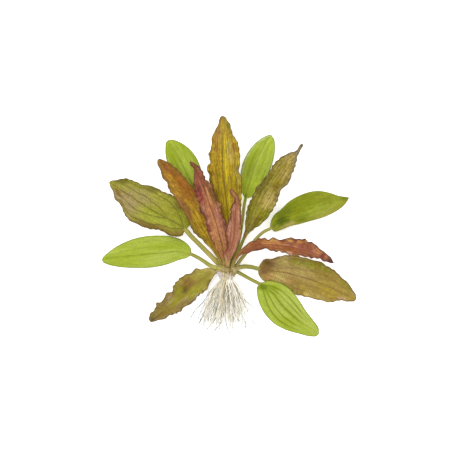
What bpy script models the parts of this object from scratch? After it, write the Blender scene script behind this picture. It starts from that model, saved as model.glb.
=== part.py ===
"""An amazon sword plant with bare roots, laid down on a flat surface.

The rootstock lies along Y: its leaves fan out towards +Y and to both sides, its roots towards -Y.
Z is up and the surface is at z = 0. Every leaf is one solid, stalk and blade together. It is lofted
from rings of eight points, which are round along the stalk and flatten into a blade with a thin edge.
"""

import math
from types import SimpleNamespace

import bmesh
import bpy
import numpy as np

MM = 0.001

# Sections of a leaf, in millimetres like every size below
BLADE_HALF_THICKNESS = 0.5
TIP_HALF_THICKNESS = 0.3
STALK_HEIGHT = 0.75  # a stalk's height over its width
STALK_SIDE = (0.7, 0.7)  # where its side points lie, as shares of the half width and half height
BLADE_SIDE = (0.5, 0.86)  # the same on a blade
BLADE_SAG = 0.5  # how much of the edges' lift those points lack, so that a blade is flat midway
STALK_STEP = 8.0  # length of stalk between two rings

# Along a blade, as shares of its length
STALK_SHARE = 0.14  # where the stalk's round section has become flat
CUP_SHARE = 0.3  # where its edges have risen to their full lift
TIP_LIFT_SHARE = 0.6  # from where they turn to the lift near the tip
WAVE_SHARE = 0.2  # where the waves have grown to their full height
WAVE_END = 0.12  # how far before the tip they fade
LIFT_END = 0.1  # how far before the tip the lift fades
LAST_RING = 0.985  # where the last ring lies, before the tip point
TIP_THIN_SHARE = 0.8  # from where it thins towards the tip
CLOSER_ENDS = 0.25  # how much closer the rings lie at both ends

# Rootstock, turned about an axis along Y
CROWN_X = -2.4
CROWN_Z = 11.5
CROWN_SIDES = 16
CROWN_FLATTEN = 0.9  # its height over its width
CROWN_PROFILE = (  # place along Y and radius
    (-41.2, 4.5), (-42.2, 7.8), (-44.0, 9.5), (-46.0, 9.5), (-49.0, 8.0), (-52.0, 6.6), (-55.0, 5.7),
)
CROWN_GAP = 0.4  # between its end and the roots

# Roots
ROOT_COUNT = 34
ROOT_RADIUS = 0.52
ROOT_TIP_RADIUS = 0.28
ROOT_POINTS = 9
ROOT_BUNDLE = 4.9  # radius of the disc that the roots start from
ROOT_START_Y = CROWN_PROFILE[-1][0] - CROWN_GAP
ROOT_REACH = 52.0  # how far the longest roots run
ROOT_SHORTEST = 0.56  # the shortest as a share of that
ROOT_SIDE_SHORTER = 0.12  # how much shorter those at the sides are
ROOT_SIDE_BACK = 0.05  # how much less they reach along Y
ROOT_UNEVEN_STEP = 0.7549  # spreads the lengths evenly, with neighbours unlike
ROOT_STUB = 0.8  # how far a root runs straight out before it bends into the fan
ROOT_CLOSER_START = 1.3  # power that puts the points closer together near the start
ROOT_SPREAD = 6.9  # how many times wider the bundle is at its far end
ROOT_FLARE = 0.62  # power by which it widens: 1 would be a straight cone
ROOT_DRIFT = 1.5  # how far the far end lies to the right
ROOT_SWAY = 0.9
ROOT_SWAY_TURNS = 7.0
ROOT_SWAY_CHANGE = 0.25  # how much the sway differs per millimetre across the bundle
ROOT_REST_Z = 5.6  # height of the bundle's middle at its far end
ROOT_DROP = 1.6  # how soon the bundle sinks to that height
ROOT_FLATTEN = 0.12  # how much flatter it gets

GOLDEN_ANGLE = math.pi * (3 - math.sqrt(5))

MIDDLE_Y = -1.3  # middle of the whole plant along Y, which is moved to the origin

# Colours of the leaves (linear)
BRIGHT_GREEN = (0.34, 0.47, 0.045)
DEEP_GREEN = (0.22, 0.31, 0.02)
OLIVE = (0.30, 0.29, 0.07)
AMBER = (0.36, 0.19, 0.04)
GOLD = (0.42, 0.32, 0.03)
RED = (0.33, 0.12, 0.06)
BRONZE = (0.24, 0.19, 0.05)
TAN = (0.36, 0.27, 0.09)


def leaf(name, colour, stalk, width, mid, left, right, cup=(0, 0, 0, 0), wave=(0, 0, 0, 0), rings=16):
    """One leaf as chosen by hand: lines from the rootstock to the tip, seen from above.

    stalk and mid hold (x, y, z) points, left and right (x, y) points of the two edges as seen from
    the base. width is the stalk's half width at its start and at the blade. cup holds how far the
    left edge lies above the midrib at mid length and near the tip, then the right edge's. wave
    holds the height and the number of the waves on the left edge, then on the right.
    """
    return SimpleNamespace(
        name=name, colour=colour, stalk=stalk, width=width, mid=mid, left=left, right=right,
        cup=cup, wave=wave, rings=rings,
    )


LEAVES = (
    leaf(
        "leaf_green_left", BRIGHT_GREEN,
        stalk=((-13.3, -42.4, 10.0), (-17.5, -41.0, 8.6), (-25.0, -36.2, 5.4), (-32.0, -32.0, 2.8)),
        width=(2.0, 1.6),
        mid=((-38.5, -29.0, 1.5), (-52, -26.4, 0.42), (-70, -27.6, 0.42), (-95, -30, 0.42),
             (-112, -32, 0.42), (-127.2, -34.6, 0.42)),
        left=((-41, -32.2), (-50, -35), (-62, -39.4), (-76, -42.3), (-95, -42.9), (-112, -41.6),
              (-122, -39.2), (-126.3, -36.8)),
        right=((-37.8, -25.5), (-40, -20.5), (-46, -15.6), (-56, -11.7), (-70, -10.5), (-86, -11.6),
               (-100, -15.4), (-113, -21.7), (-122, -28.4), (-126.2, -32.4)),
        cup=(1.2, 0.4, 1.4, 0.5),
    ),
    leaf(
        "leaf_olive_left", OLIVE,
        stalk=((-9.4, -40.2, 9.2), (-14, -35, 11), (-21, -27.8, 12.5), (-30, -18.8, 13.5),
               (-37.5, -11.3, 13.5)),
        width=(2.3, 2.0),
        mid=((-43.5, -4.5, 13), (-50, 0.2, 12.3), (-60, 5.6, 11), (-80, 16.8, 8.5), (-100, 29.8, 5),
             (-119.8, 43, 1.5)),
        left=((-46, -10), (-52, -11.8), (-58, -10.8), (-69, -5.2), (-80, -3.8), (-90, 0), (-100.5, 5.6),
              (-105, 12), (-108.2, 20), (-113.6, 25.6), (-116, 33), (-119.2, 40)),
        right=((-39.2, -1), (-38.4, 6), (-41.5, 15), (-48, 23.5), (-56, 29.6), (-65, 33), (-75, 38.3),
               (-86, 40.3), (-96, 44.6), (-104, 46.7), (-112, 45), (-117.5, 44.4)),
        cup=(-1.5, 0.8, 1.8, 1.2), wave=(0.9, 5, 0.7, 5), rings=22,
    ),
    leaf(
        "leaf_amber_left", AMBER,
        stalk=((-7.6, -40.4, 12.9), (-8.4, -37.4, 13.7)),
        width=(1.9, 1.9),
        mid=((-9, -35.5, 14.3), (-12, -29, 16.2), (-20, -15, 19.5), (-28, -2, 22), (-36, 13, 23),
             (-44, 28, 22), (-52, 42, 19.5), (-61, 55, 15.5), (-69.8, 66, 11)),
        left=((-13.5, -30.5), (-20, -22), (-25.5, -16), (-36, -6), (-39.5, 3), (-45, 13), (-50, 20),
              (-55.5, 29.5), (-60, 35.5), (-61.3, 41), (-65, 45.5), (-68, 53), (-71.2, 61),
              (-71.2, 64.6)),
        right=((-9, -30), (-12.5, -20), (-19, 0), (-24, 15), (-29, 28), (-36.5, 38), (-45, 48.5),
               (-52, 56), (-60, 62), (-66, 65.2)),
        cup=(-1.5, 0.5, 2.0, 0.8), wave=(1.1, 5, 0.8, 5), rings=22,
    ),
    leaf(
        "leaf_green_back_left", BRIGHT_GREEN,
        stalk=((-5.5, -40.4, 6.8), (-10, -24, 4.8), (-18.5, -4, 2.8)),
        width=(1.8, 1.5),
        mid=((-26.5, 13, 1.6), (-33, 30, 0.6), (-42, 48, 0.5), (-51, 66, 0.5), (-60.6, 85, 0.5)),
        left=((-30.5, 13), (-38, 20.5), (-47, 32), (-55, 45), (-61, 60), (-63.4, 70), (-63.6, 78),
              (-62.8, 83)),
        right=((-23, 17), (-22.5, 27), (-25, 41), (-28, 56), (-32.5, 67), (-40.5, 77), (-50, 83.2),
               (-57.5, 85.4)),
        cup=(1.0, 0.4, 1.2, 0.4), rings=14,
    ),
    leaf(
        "leaf_red_centre", RED,
        stalk=((-4.4, -40.4, 16.5), (-4.2, -38.4, 17.6)),
        width=(2.2, 2.3),
        mid=((-4, -36.5, 18.6), (-5, -28, 22), (-7.5, -15, 27), (-10.8, 0, 31), (-15.4, 13, 33),
             (-20.6, 28, 33.5), (-24.5, 38, 31.5), (-30, 50, 27), (-34.6, 58, 23.5), (-38.8, 63, 21)),
        left=((-9.5, -29.5), (-15, -18.5), (-20.3, -9), (-23, 2), (-24, 9), (-28.6, 11.5), (-28.8, 18),
              (-32, 26), (-34.2, 36), (-35.2, 44), (-34.2, 52), (-36.8, 57.5), (-38.8, 61)),
        right=((-0.8, -30), (0.4, -18), (-0.6, -7), (-2.6, 3), (-7.2, 13.5), (-7.6, 20.5), (-12, 26),
               (-15, 34), (-18.8, 41.6), (-22.4, 44.4), (-25.6, 52), (-31, 58.8), (-36.6, 62.6)),
        cup=(-1.5, 0.8, -1.0, 0.8), wave=(2.2, 5, 1.8, 5), rings=27,
    ),
    leaf(
        "leaf_gold_tall", GOLD,
        stalk=((-1.0, -40.1, 12.3), (-0.7, -38.9, 12.6)),
        width=(2.3, 2.4),
        mid=((-0.4, -37.5, 13), (0.5, -25, 15), (1, 0, 18.5), (-1, 25, 20.5), (-3.5, 50, 20.5),
             (-5, 75, 17), (-5.8, 95, 11.5), (-6, 109, 6)),
        left=((-4, -28), (-7, -10), (-11, 10), (-15, 26), (-19.2, 42), (-20, 50), (-22.1, 57),
              (-18.9, 62), (-20.4, 70), (-17.6, 77.5), (-17.6, 83), (-14.8, 93), (-11.2, 99),
              (-9.8, 105), (-8, 108.4)),
        right=((4.6, -29), (8.4, -17), (11, -2), (12, 16), (12.6, 34), (12.7, 46), (10, 53.5), (11, 63),
               (10.4, 74), (8, 83.6), (5, 88.2), (2.4, 95), (1.4, 100), (-1.2, 103.4), (-3.4, 107.6)),
        cup=(-1.0, -0.5, -1.0, -0.5), wave=(1.6, 8, 1.4, 8), rings=31,
    ),
    leaf(
        "leaf_red_small", RED,
        stalk=((-1.3, -40.4, 21.1), (-1.2, -38.6, 22.4)),
        width=(2.0, 2.0),
        mid=((-1, -36.8, 23.8), (0.9, -28, 29), (4.5, -12, 36), (6, 0, 40), (6.4, 12, 42.5),
             (7, 22, 43), (6.3, 29, 42), (1.9, 36, 40)),
        left=((-4.8, -31), (-4.4, -26), (-2, -21.5), (-2.4, -14), (-3.2, -5), (-0.6, 2), (1.2, 10),
              (2, 18.4), (4.6, 22), (4.4, 26.6), (1.8, 30), (0.4, 33.6)),
        right=((2.8, -32), (7, -25), (10, -17.5), (12.4, -10), (12.3, 0), (11.7, 9), (10.6, 21),
               (9.2, 28), (5.8, 33)),
        cup=(2.4, 0.8, 0.6, 0.4), wave=(1.1, 4, 0.7, 4), rings=20,
    ),
    leaf(
        "leaf_green_back_right", BRIGHT_GREEN,
        stalk=((3.0, -40.4, 7.4), (7.5, -25, 6.4), (11.8, -6, 5), (14, 10, 3.8), (15.2, 20, 2.6)),
        width=(1.7, 1.4),
        mid=((16.6, 27, 1.6), (19, 38, 0.6), (23.5, 52, 0.5), (29, 66, 0.5), (35, 79, 0.5),
             (42.4, 90, 0.5)),
        left=((14.2, 29.4), (12.2, 35), (11.4, 45), (12.2, 55), (15, 65), (20.5, 75.2), (27, 82.6),
              (34, 87.6), (39.5, 90)),
        right=((20.6, 27.2), (26, 31), (32, 37.6), (38, 47.4), (42, 57.6), (45, 69), (46, 79), (45, 86)),
        cup=(1.0, 0.4, 1.2, 0.4), rings=14,
    ),
    leaf(
        "leaf_bronze_right", BRONZE,
        stalk=((3.6, -40.4, 14.7), (5.6, -34.5, 15.5), (9.5, -25.5, 16.5)),
        width=(1.6, 1.5),
        mid=((13.8, -15.5, 17.5), (18, -4, 18.5), (25, 10, 19), (34, 28, 18), (43, 43, 15.5),
             (52, 56, 12.5), (61, 67, 10.5), (67.5, 73, 10.5), (74, 80.2, 12.5)),
        left=((15.4, -6), (16.4, 6), (18.4, 18), (22, 26), (27, 36.6), (33.4, 44), (40, 53), (44, 60),
              (51, 67), (59.6, 71.8), (65, 73), (68, 75.6), (70, 79), (72.4, 80.8)),
        right=((19, -9.4), (25, -4), (33, 1.6), (40, 9.6), (45.6, 18.6), (48.6, 25), (50.6, 32),
               (53.6, 37), (59.6, 41.6), (62, 49), (65, 55.4), (67.2, 63), (68.8, 70), (71.4, 74.6),
               (73.6, 78.6)),
        cup=(1.6, 0.8, -2.0, 0.6), wave=(0.8, 5, 1.7, 6), rings=27,
    ),
    leaf(
        "leaf_green_right", DEEP_GREEN,
        stalk=((7.6, -40.2, 12.8), (10.4, -36, 13.4), (15.5, -29.5, 14), (22, -20, 14.5),
               (28, -12.5, 14), (35, -6.5, 12.5)),
        width=(1.8, 1.4),
        mid=((41.5, -3.4, 10.5), (47, 1.6, 9), (55, 6, 6.2), (70, 12.5, 3), (90, 19, 1.0),
             (105, 23.5, 0.6), (120.3, 27.6, 0.5)),
        left=((41.2, 2), (44.6, 9.6), (51, 15), (60, 23.5), (70, 29.4), (80, 33), (90, 34.1),
              (100, 32.4), (110, 29.2), (116.6, 28.2)),
        right=((44.6, -6.4), (52, -5), (60, -1.6), (70, 0.8), (82, 4.2), (94, 7.6), (105, 12.5),
               (113.6, 18.4), (118.6, 24.4)),
        cup=(2.2, 0.6, 1.0, 0.6), rings=16,
    ),
    leaf(
        "leaf_red_arching", RED,
        stalk=((3.2, -40.4, 18.5), (4.1, -37.6, 20.2)),
        width=(1.9, 2.0),
        mid=((5.4, -34.8, 22), (9, -30, 25.2), (14.6, -25.8, 29.4), (22.4, -22, 34), (32, -19.4, 38),
             (45, -20, 40.5), (60, -22, 39.5), (75, -25.4, 35.5), (88, -29.6, 29), (97, -33.8, 23),
             (104.3, -38, 18)),
        left=((12, -23.6), (19, -18), (26, -14.8), (33, -12.6), (39, -14), (44.6, -12.2), (50.6, -14.4),
              (57, -13.4), (62.4, -11.9), (67, -14), (73.6, -13.4), (79.6, -16.6), (85, -18.2),
              (89, -23.4), (95, -26.4), (101, -32.4)),
        right=((12.4, -29.4), (20, -27.6), (28, -25), (35.6, -23.6), (44, -26.2), (50, -26.4),
               (57, -28.6), (65, -30.8), (73, -30.8), (80, -32.6), (88, -33.2), (96, -36.6),
               (101.4, -38)),
        cup=(-3.0, -1.5, -4.0, -1.5), wave=(2.2, 6, 1.6, 6), rings=29,
    ),
    leaf(
        "leaf_tan_right", TAN,
        stalk=((8.8, -42.9, 9.8), (13, -41.6, 9.0), (21, -41.7, 7)),
        width=(2.2, 1.8),
        mid=((29.3, -43.6, 4.8), (40, -46, 3.6), (60, -51.5, 2.6), (80, -57.5, 2), (100, -64.5, 1.6),
             (115, -70, 1.2), (127, -74.2, 1)),
        left=((31.4, -38.4), (35.6, -34), (43, -33.6), (51, -31), (61, -29.9), (71, -31.4), (81, -34.2),
              (91, -36.6), (98, -41), (105.6, -45.4), (111.6, -51.4), (118.4, -57.6), (124, -65),
              (127.2, -71.6)),
        right=((29.4, -49), (34, -55.4), (42, -58), (52, -62), (62, -68.4), (72, -70.8), (80, -72.6),
               (90, -75), (101, -77.3), (111, -75.4), (121, -76.6), (125.6, -76)),
        cup=(2.6, 1.0, -1.4, 0.4), wave=(0.9, 5, 0.4, 6), rings=22,
    ),
    leaf(
        "leaf_green_lower_right", BRIGHT_GREEN,
        stalk=((7.7, -46.5, 7.8), (12, -48.7, 7.2), (20, -53.2, 6.2)),
        width=(1.7, 1.5),
        mid=((30.3, -58.6, 5.4), (38, -63, 4.8), (45.5, -69, 3.6), (53, -79, 2), (62, -88, 0.8),
             (75, -99, 0.5), (90, -108.8, 0.5)),
        left=((33.6, -57), (39, -55.8), (46, -56.3), (54, -59.2), (62, -65), (70, -75), (77, -86),
              (84, -95), (89.6, -103.4)),
        right=((28, -62), (28, -69), (31, -80), (36.4, -89.6), (45, -98.6), (56, -104.6), (70, -108.8),
               (81, -111.3), (87.6, -111)),
        cup=(1.6, 0.5, -1.6, 0.4), rings=16,
    ),
    leaf(
        "leaf_bronze_lower_left", BRONZE,
        stalk=((-12.9, -45.3, 6.6), (-14.4, -46.2, 6.5)),
        width=(1.7, 2.0),
        mid=((-16, -47.2, 6.3), (-23, -52, 5.6), (-32, -60.4, 4.4), (-42, -70, 3.6), (-52, -78.6, 3),
             (-62, -86.2, 1.8), (-70, -91.6, 1.1), (-78, -97.4, 0.6)),
        left=((-17, -54), (-20.4, -61), (-23, -65.2), (-31, -71), (-37, -78.4), (-43, -80.6),
              (-48, -86.2), (-54, -88.8), (-60, -91), (-66, -94.4), (-73, -96)),
        right=((-20.6, -43.4), (-28, -44.2), (-34, -43.4), (-38.4, -48.4), (-44, -49.6), (-50, -54),
               (-56, -61.4), (-57.4, -67), (-62, -67.6), (-65.4, -73), (-67.7, -77.2), (-71.6, -77),
               (-74, -83.6), (-79.4, -90), (-80.2, -94.6)),
        cup=(-1.0, 0.4, 0.8, 0.8), wave=(1.5, 6, 2.0, 6), rings=27,
    ),
)


def clear_scene():
    """Removes every object that the file opened with."""
    for obj in list(bpy.data.objects):
        bpy.data.objects.remove(obj, do_unlink=True)


def new_material(name, colour, roughness):
    """A plain surface of one colour."""
    material = bpy.data.materials.new(name)
    material.use_nodes = True
    shader = material.node_tree.nodes["Principled BSDF"]
    shader.inputs["Base Color"].default_value = (*colour, 1.0)
    shader.inputs["Roughness"].default_value = roughness
    shader.inputs["Metallic"].default_value = 0.0
    return material


def ease(share):
    """Rises from 0 to 1 with level ends."""
    share = np.clip(share, 0.0, 1.0)
    return share * share * (3 - 2 * share)


def smooth_line(points, shares):
    """Where a smooth line through the points is, at shares of its length."""
    points = np.array(points, float)
    steps = np.linalg.norm(np.diff(points, axis=0), axis=1)
    at = np.concatenate([[0.0], np.cumsum(steps)]) / steps.sum()
    slopes = np.gradient(points, at, axis=0)
    shares = np.asarray(shares, float)
    first = np.clip(np.searchsorted(at, shares, side="right") - 1, 0, len(at) - 2)
    width = (at[first + 1] - at[first])[:, None]
    s = (shares - at[first])[:, None] / width
    return (
        (2 * s**3 - 3 * s**2 + 1) * points[first]
        + (s**3 - 2 * s**2 + s) * width * slopes[first]
        + (3 * s**2 - 2 * s**3) * points[first + 1]
        + (s**3 - s**2) * width * slopes[first + 1]
    )


def unit(vectors):
    """The same directions with length one."""
    return vectors / np.linalg.norm(vectors, axis=-1, keepdims=True)


def level_left(forward):
    """The level direction to the left of each given direction."""
    return unit(np.cross((0.0, 0.0, 1.0), forward))


def ring(centre, left, right, up, half_thickness, roundness):
    """Eight points of a section: the left edge, three on top, the right edge and three underneath."""
    out = BLADE_SIDE[0] + (STALK_SIDE[0] - BLADE_SIDE[0]) * roundness
    flat = BLADE_SIDE[1] + (STALK_SIDE[1] - BLADE_SIDE[1]) * roundness
    sag = BLADE_SAG * (1 - roundness)
    rise = up * half_thickness
    quarter_left = centre + (left - centre) * out - (0, 0, sag * (left - centre)[2])
    quarter_right = centre + (right - centre) * out - (0, 0, sag * (right - centre)[2])
    points = np.array((
        left, quarter_left + rise * flat, centre + rise, quarter_right + rise * flat,
        right, quarter_right - rise * flat, centre - rise, quarter_left - rise * flat,
    ))
    points[:, 2] = np.maximum(points[:, 2], 0.0)  # nothing reaches below the surface
    return points


def stalk_rings(this):
    """Round sections along the stalk, up to where the blade starts."""
    line = this.stalk + this.mid[:2]
    steps = np.linalg.norm(np.diff(np.array(line), axis=0), axis=1)
    share_of_stalk = steps[:-1].sum() / steps.sum()
    count = max(1, round(steps[:-1].sum() / STALK_STEP))
    shares = np.linspace(0.0, share_of_stalk, count + 1)[:-1]
    centres = smooth_line(line, shares)
    forward = unit(smooth_line(line, shares + 0.01) - centres)
    lefts = level_left(forward)
    ups = np.cross(forward, lefts)
    widths = np.interp(shares, (0.0, share_of_stalk), this.width)
    return [
        ring(c, c + left * w, c - left * w, up, STALK_HEIGHT * w, 1.0)
        for c, left, up, w in zip(centres, lefts, ups, widths)
    ]


def blade_lines(this, shares):
    """The midrib and both edges of a blade at the given shares of its length."""
    mid = smooth_line(this.mid, shares)
    start, next_on = smooth_line(this.mid, (0.0, 0.05))
    side = level_left(next_on - start) * this.width[1]
    cup_left, tip_left, cup_right, tip_right = this.cup
    high_left, count_left, high_right, count_right = this.wave
    edges = []
    for outline, hand, cup, tip, high, count in (
        (this.left, 1, cup_left, tip_left, high_left, count_left),
        (this.right, -1, cup_right, tip_right, high_right, count_right),
    ):
        first = start + hand * side
        flat = smooth_line((tuple(first[:2]), *outline, this.mid[-1][:2]), shares)
        near_tip = ease((shares - TIP_LIFT_SHARE) / (1 - TIP_LIFT_SHARE))
        lift = cup * ease(shares / CUP_SHARE) + (tip - cup) * near_tip
        fade = ease(shares / WAVE_SHARE) * ease((1 - shares) / WAVE_END)
        wave = high * fade * np.sin(2 * math.pi * count * shares + hand)
        lift = lift * ease((1 - shares) / LIFT_END) + wave
        edges.append(np.column_stack([flat, mid[:, 2] + lift]))
    return mid, *edges


def blade_rings(this):
    """Sections along the blade that flatten from the stalk's round one, and the tip point."""
    even = np.linspace(0.0, 1.0, this.rings)
    shares = (even + CLOSER_ENDS * (ease(even) - even)) * LAST_RING
    mid, left, right = blade_lines(this, shares)
    forward = np.gradient(mid, axis=0)
    ups = unit(np.cross(forward, left - right))
    roundness = 1 - ease(shares / STALK_SHARE)
    near_tip = ease((shares - TIP_THIN_SHARE) / (1 - TIP_THIN_SHARE))
    thick = BLADE_HALF_THICKNESS + (TIP_HALF_THICKNESS - BLADE_HALF_THICKNESS) * near_tip
    thick = thick + (STALK_HEIGHT * this.width[1] - BLADE_HALF_THICKNESS) * roundness
    rings = [ring(*section) for section in zip(mid, left, right, ups, thick, roundness)]
    return rings, np.array(this.mid[-1])


def loft(name, rings, tip, material):
    """A closed skin over a row of sections, capped at the start and drawn to a point at the end.

    Above and below, the skin folds along the same diagonals, so that it can't cross itself where the
    blade is thin and twisted.
    """
    bm = bmesh.new()
    rows = [[bm.verts.new(point * MM) for point in points] for points in rings]
    bm.faces.new(reversed(rows[0]))
    count = len(rows[0])
    for here, there in zip(rows, rows[1:]):
        for i in range(count):
            j = (i + 1) % count
            if i < count // 2:
                bm.faces.new((here[i], here[j], there[j]))
                bm.faces.new((here[i], there[j], there[i]))
            else:
                bm.faces.new((here[i], here[j], there[i]))
                bm.faces.new((here[j], there[j], there[i]))
    end = bm.verts.new(tip * MM)
    for i in range(count):
        bm.faces.new((rows[-1][i], rows[-1][(i + 1) % count], end))
    mesh = bpy.data.meshes.new(name)
    bm.to_mesh(mesh)
    bm.free()
    mesh.shade_smooth()
    mesh.materials.append(material)
    obj = bpy.data.objects.new(name, mesh)
    bpy.context.collection.objects.link(obj)
    return obj


def make_leaf(this):
    """Stalk and blade as one solid."""
    material = new_material(this.name, this.colour, 0.45)
    blade, tip = blade_rings(this)
    return loft(this.name, stalk_rings(this) + blade, tip, material)


def make_rootstock():
    """The short turned stem that the leaves and the roots grow from."""
    bm = bmesh.new()
    profile = [(CROWN_PROFILE[0][0], 0.0), *CROWN_PROFILE, (CROWN_PROFILE[-1][0], 0.0)]
    verts = [bm.verts.new((r * MM, y * MM, 0.0)) for y, r in profile]
    edges = [bm.edges.new(pair) for pair in zip(verts, verts[1:])]
    bmesh.ops.spin(
        bm, geom=verts + edges, cent=(0, 0, 0), axis=(0, 1, 0), angle=2 * math.pi,
        steps=CROWN_SIDES, use_merge=True,
    )
    bmesh.ops.remove_doubles(bm, verts=bm.verts, dist=0.01 * MM)
    bmesh.ops.recalc_face_normals(bm, faces=bm.faces)
    mesh = bpy.data.meshes.new("rootstock")
    bm.to_mesh(mesh)
    bm.free()
    mesh.shade_smooth()
    mesh.materials.append(new_material("rootstock", (0.42, 0.36, 0.2), 0.7))
    obj = bpy.data.objects.new("rootstock", mesh)
    obj.location = (CROWN_X * MM, 0.0, CROWN_Z * MM)
    obj.scale = (1.0, 1.0, CROWN_FLATTEN)
    bpy.context.collection.objects.link(obj)
    return obj


def root_line(index):
    """Points along one root: all roots share one widening of their bundle, so that none meet."""
    reach = math.sqrt((index + 0.5) / ROOT_COUNT)
    turn = index * GOLDEN_ANGLE
    across = ROOT_BUNDLE * reach * math.cos(turn)
    height = ROOT_BUNDLE * reach * math.sin(turn)
    uneven = (index * ROOT_UNEVEN_STEP) % 1.0
    sideways = abs(across) / ROOT_BUNDLE
    length = ROOT_SHORTEST + (1 - ROOT_SHORTEST) * uneven
    length = length * (1 - ROOT_SIDE_SHORTER * sideways)
    straight = ROOT_REACH * (1 - ROOT_SIDE_BACK * sideways**2)
    points = [(CROWN_X + across, ROOT_START_Y, CROWN_Z + height)]
    for step in range(ROOT_POINTS - 1):
        share = (step / (ROOT_POINTS - 2)) ** ROOT_CLOSER_START * length
        wide = 1 + (ROOT_SPREAD - 1) * share**ROOT_FLARE
        sway = ROOT_SWAY * share * math.sin(ROOT_SWAY_TURNS * share + ROOT_SWAY_CHANGE * across)
        sunk = ease(share * ROOT_DROP)
        points.append((
            CROWN_X + across * wide + sway + ROOT_DRIFT * share,
            ROOT_START_Y - ROOT_STUB - share * straight,
            CROWN_Z + (ROOT_REST_Z - CROWN_Z) * sunk + height * (1 - ROOT_FLATTEN * sunk),
        ))
    return points


def make_root(index, material):
    """One main root: a round tube that thins towards its end."""
    name = f"root_{index + 1:02d}"
    curve = bpy.data.curves.new(name, "CURVE")
    curve.dimensions = "3D"
    curve.bevel_depth = ROOT_RADIUS * MM
    curve.bevel_resolution = 1
    curve.use_fill_caps = True
    points = root_line(index)
    spline = curve.splines.new("POLY")
    spline.points.add(len(points) - 1)
    for step, (place, point) in enumerate(zip(spline.points, points)):
        place.co = (*(value * MM for value in point), 1.0)
        thin = step / (len(points) - 1)
        place.radius = 1 + (ROOT_TIP_RADIUS / ROOT_RADIUS - 1) * thin
    curve.materials.append(material)
    obj = bpy.data.objects.new(name, curve)
    bpy.context.collection.objects.link(obj)
    return obj


def main():
    clear_scene()
    root_material = new_material("root", (0.75, 0.68, 0.52), 0.75)
    pieces = [make_rootstock()]
    pieces += [make_root(index, root_material) for index in range(ROOT_COUNT)]
    pieces += [make_leaf(this) for this in LEAVES]
    plant = bpy.data.objects.new("plant", None)
    plant.location = (0.0, -MIDDLE_Y * MM, 0.0)
    bpy.context.collection.objects.link(plant)
    for piece in pieces:
        piece.parent = plant


main()
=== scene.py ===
"""The finish of an amazon sword plant that lies on a pale table, seen from straight above.

Each leaf is one skin, stalk and blade together, drawn along the same lines as its solid: a grid is
wrapped round the leaf, with rows from the rootstock to the tip and columns from the left edge over
the upper side to the right edge and back underneath. The attributes "leaf", "leaf_mm" and
"leaf_crest" on it tell the materials where they are on the leaf. Sizes are in millimetres until a
mesh is placed.
"""

import inspect
import math
from types import SimpleNamespace

import bpy
import numpy as np
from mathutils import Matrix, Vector


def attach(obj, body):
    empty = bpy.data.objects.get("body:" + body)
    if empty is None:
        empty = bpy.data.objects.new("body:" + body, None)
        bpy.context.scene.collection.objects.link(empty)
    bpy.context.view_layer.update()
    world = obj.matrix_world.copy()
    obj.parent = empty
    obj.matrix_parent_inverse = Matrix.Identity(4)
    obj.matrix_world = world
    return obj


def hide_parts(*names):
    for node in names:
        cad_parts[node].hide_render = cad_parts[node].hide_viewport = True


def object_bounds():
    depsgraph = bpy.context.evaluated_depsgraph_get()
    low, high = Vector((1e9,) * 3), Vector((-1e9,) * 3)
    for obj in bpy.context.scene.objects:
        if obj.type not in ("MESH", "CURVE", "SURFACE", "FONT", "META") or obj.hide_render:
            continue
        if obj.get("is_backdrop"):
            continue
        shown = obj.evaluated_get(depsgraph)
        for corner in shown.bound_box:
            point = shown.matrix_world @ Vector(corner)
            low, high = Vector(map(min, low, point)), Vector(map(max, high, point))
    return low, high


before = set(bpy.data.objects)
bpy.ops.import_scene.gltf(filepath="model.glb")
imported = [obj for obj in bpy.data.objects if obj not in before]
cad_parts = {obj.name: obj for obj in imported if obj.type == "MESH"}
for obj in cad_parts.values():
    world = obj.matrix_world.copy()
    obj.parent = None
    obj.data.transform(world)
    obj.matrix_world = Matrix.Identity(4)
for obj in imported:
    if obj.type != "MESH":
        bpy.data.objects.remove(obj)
cad_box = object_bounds()

MM = 0.001
MIDDLE_Y = -1.3  # the plant's middle along Y in the drawing, which lies at the origin of the model
WHOLE_TURN = 2 * math.pi
GOLDEN_ANGLE = math.pi * (3 - math.sqrt(5))

# ---------------------------------------------------------------- rootstock: shape

CROWN_X = -2.4
CROWN_Z = 11.5
CROWN_FLATTEN = 0.9
CROWN_SHOULDER = -42.4  # where it has nearly its full thickness below its top
CROWN_PROFILE = (  # place along Y and radius
    (-40.9, 0.0), (-41.2, 4.5), (-42.2, 7.6), (-44.0, 9.2), (-46.0, 9.3), (-49.0, 8.0),
    (-52.0, 6.6), (-54.6, 5.7), (-55.2, 4.6), (-55.4, 0.0),
)

# ---------------------------------------------------------------- leaves: sizes

LANES = 44  # columns on each side of a leaf
EVEN_LANES = 0.45  # how far a blade's lanes are evenly spaced, rather than closer at the edges
BLADE_ROWS = 150
STALK_ROW_STEP = 1.0
STALK_HEIGHT = 0.75  # a stalk's height over its width
STALK_SWELL = 1.1  # how much thicker than its solid a stalk is
BASE_HALF_HEIGHT = 1.9  # the thickest a leaf's base gets
STALK_SHARE = 0.14  # share of the blade where the stalk's round section has become flat
SHEATH_LENGTH = 12.0  # length of stalk that widens into a sheath at the rootstock
SHEATH_FLATTEN = 0.35
SHEATH_TURN = 3.0  # length over which a sheath turns from the rootstock's side into its stalk
CLASP_SINK = 0.6  # how deep a sheath's end lies in the rootstock's skin
CLASP_PLACES = ((1.0, 4 * CLASP_SINK), (0.7, CLASP_SINK), (0.35, CLASP_SINK))  # share and depth
CHANNEL = 0.22  # depth of the groove along a stalk's upper side, over its half height
CHANNEL_WIDTH = 0.45  # its half width as a share of the stalk's

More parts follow.
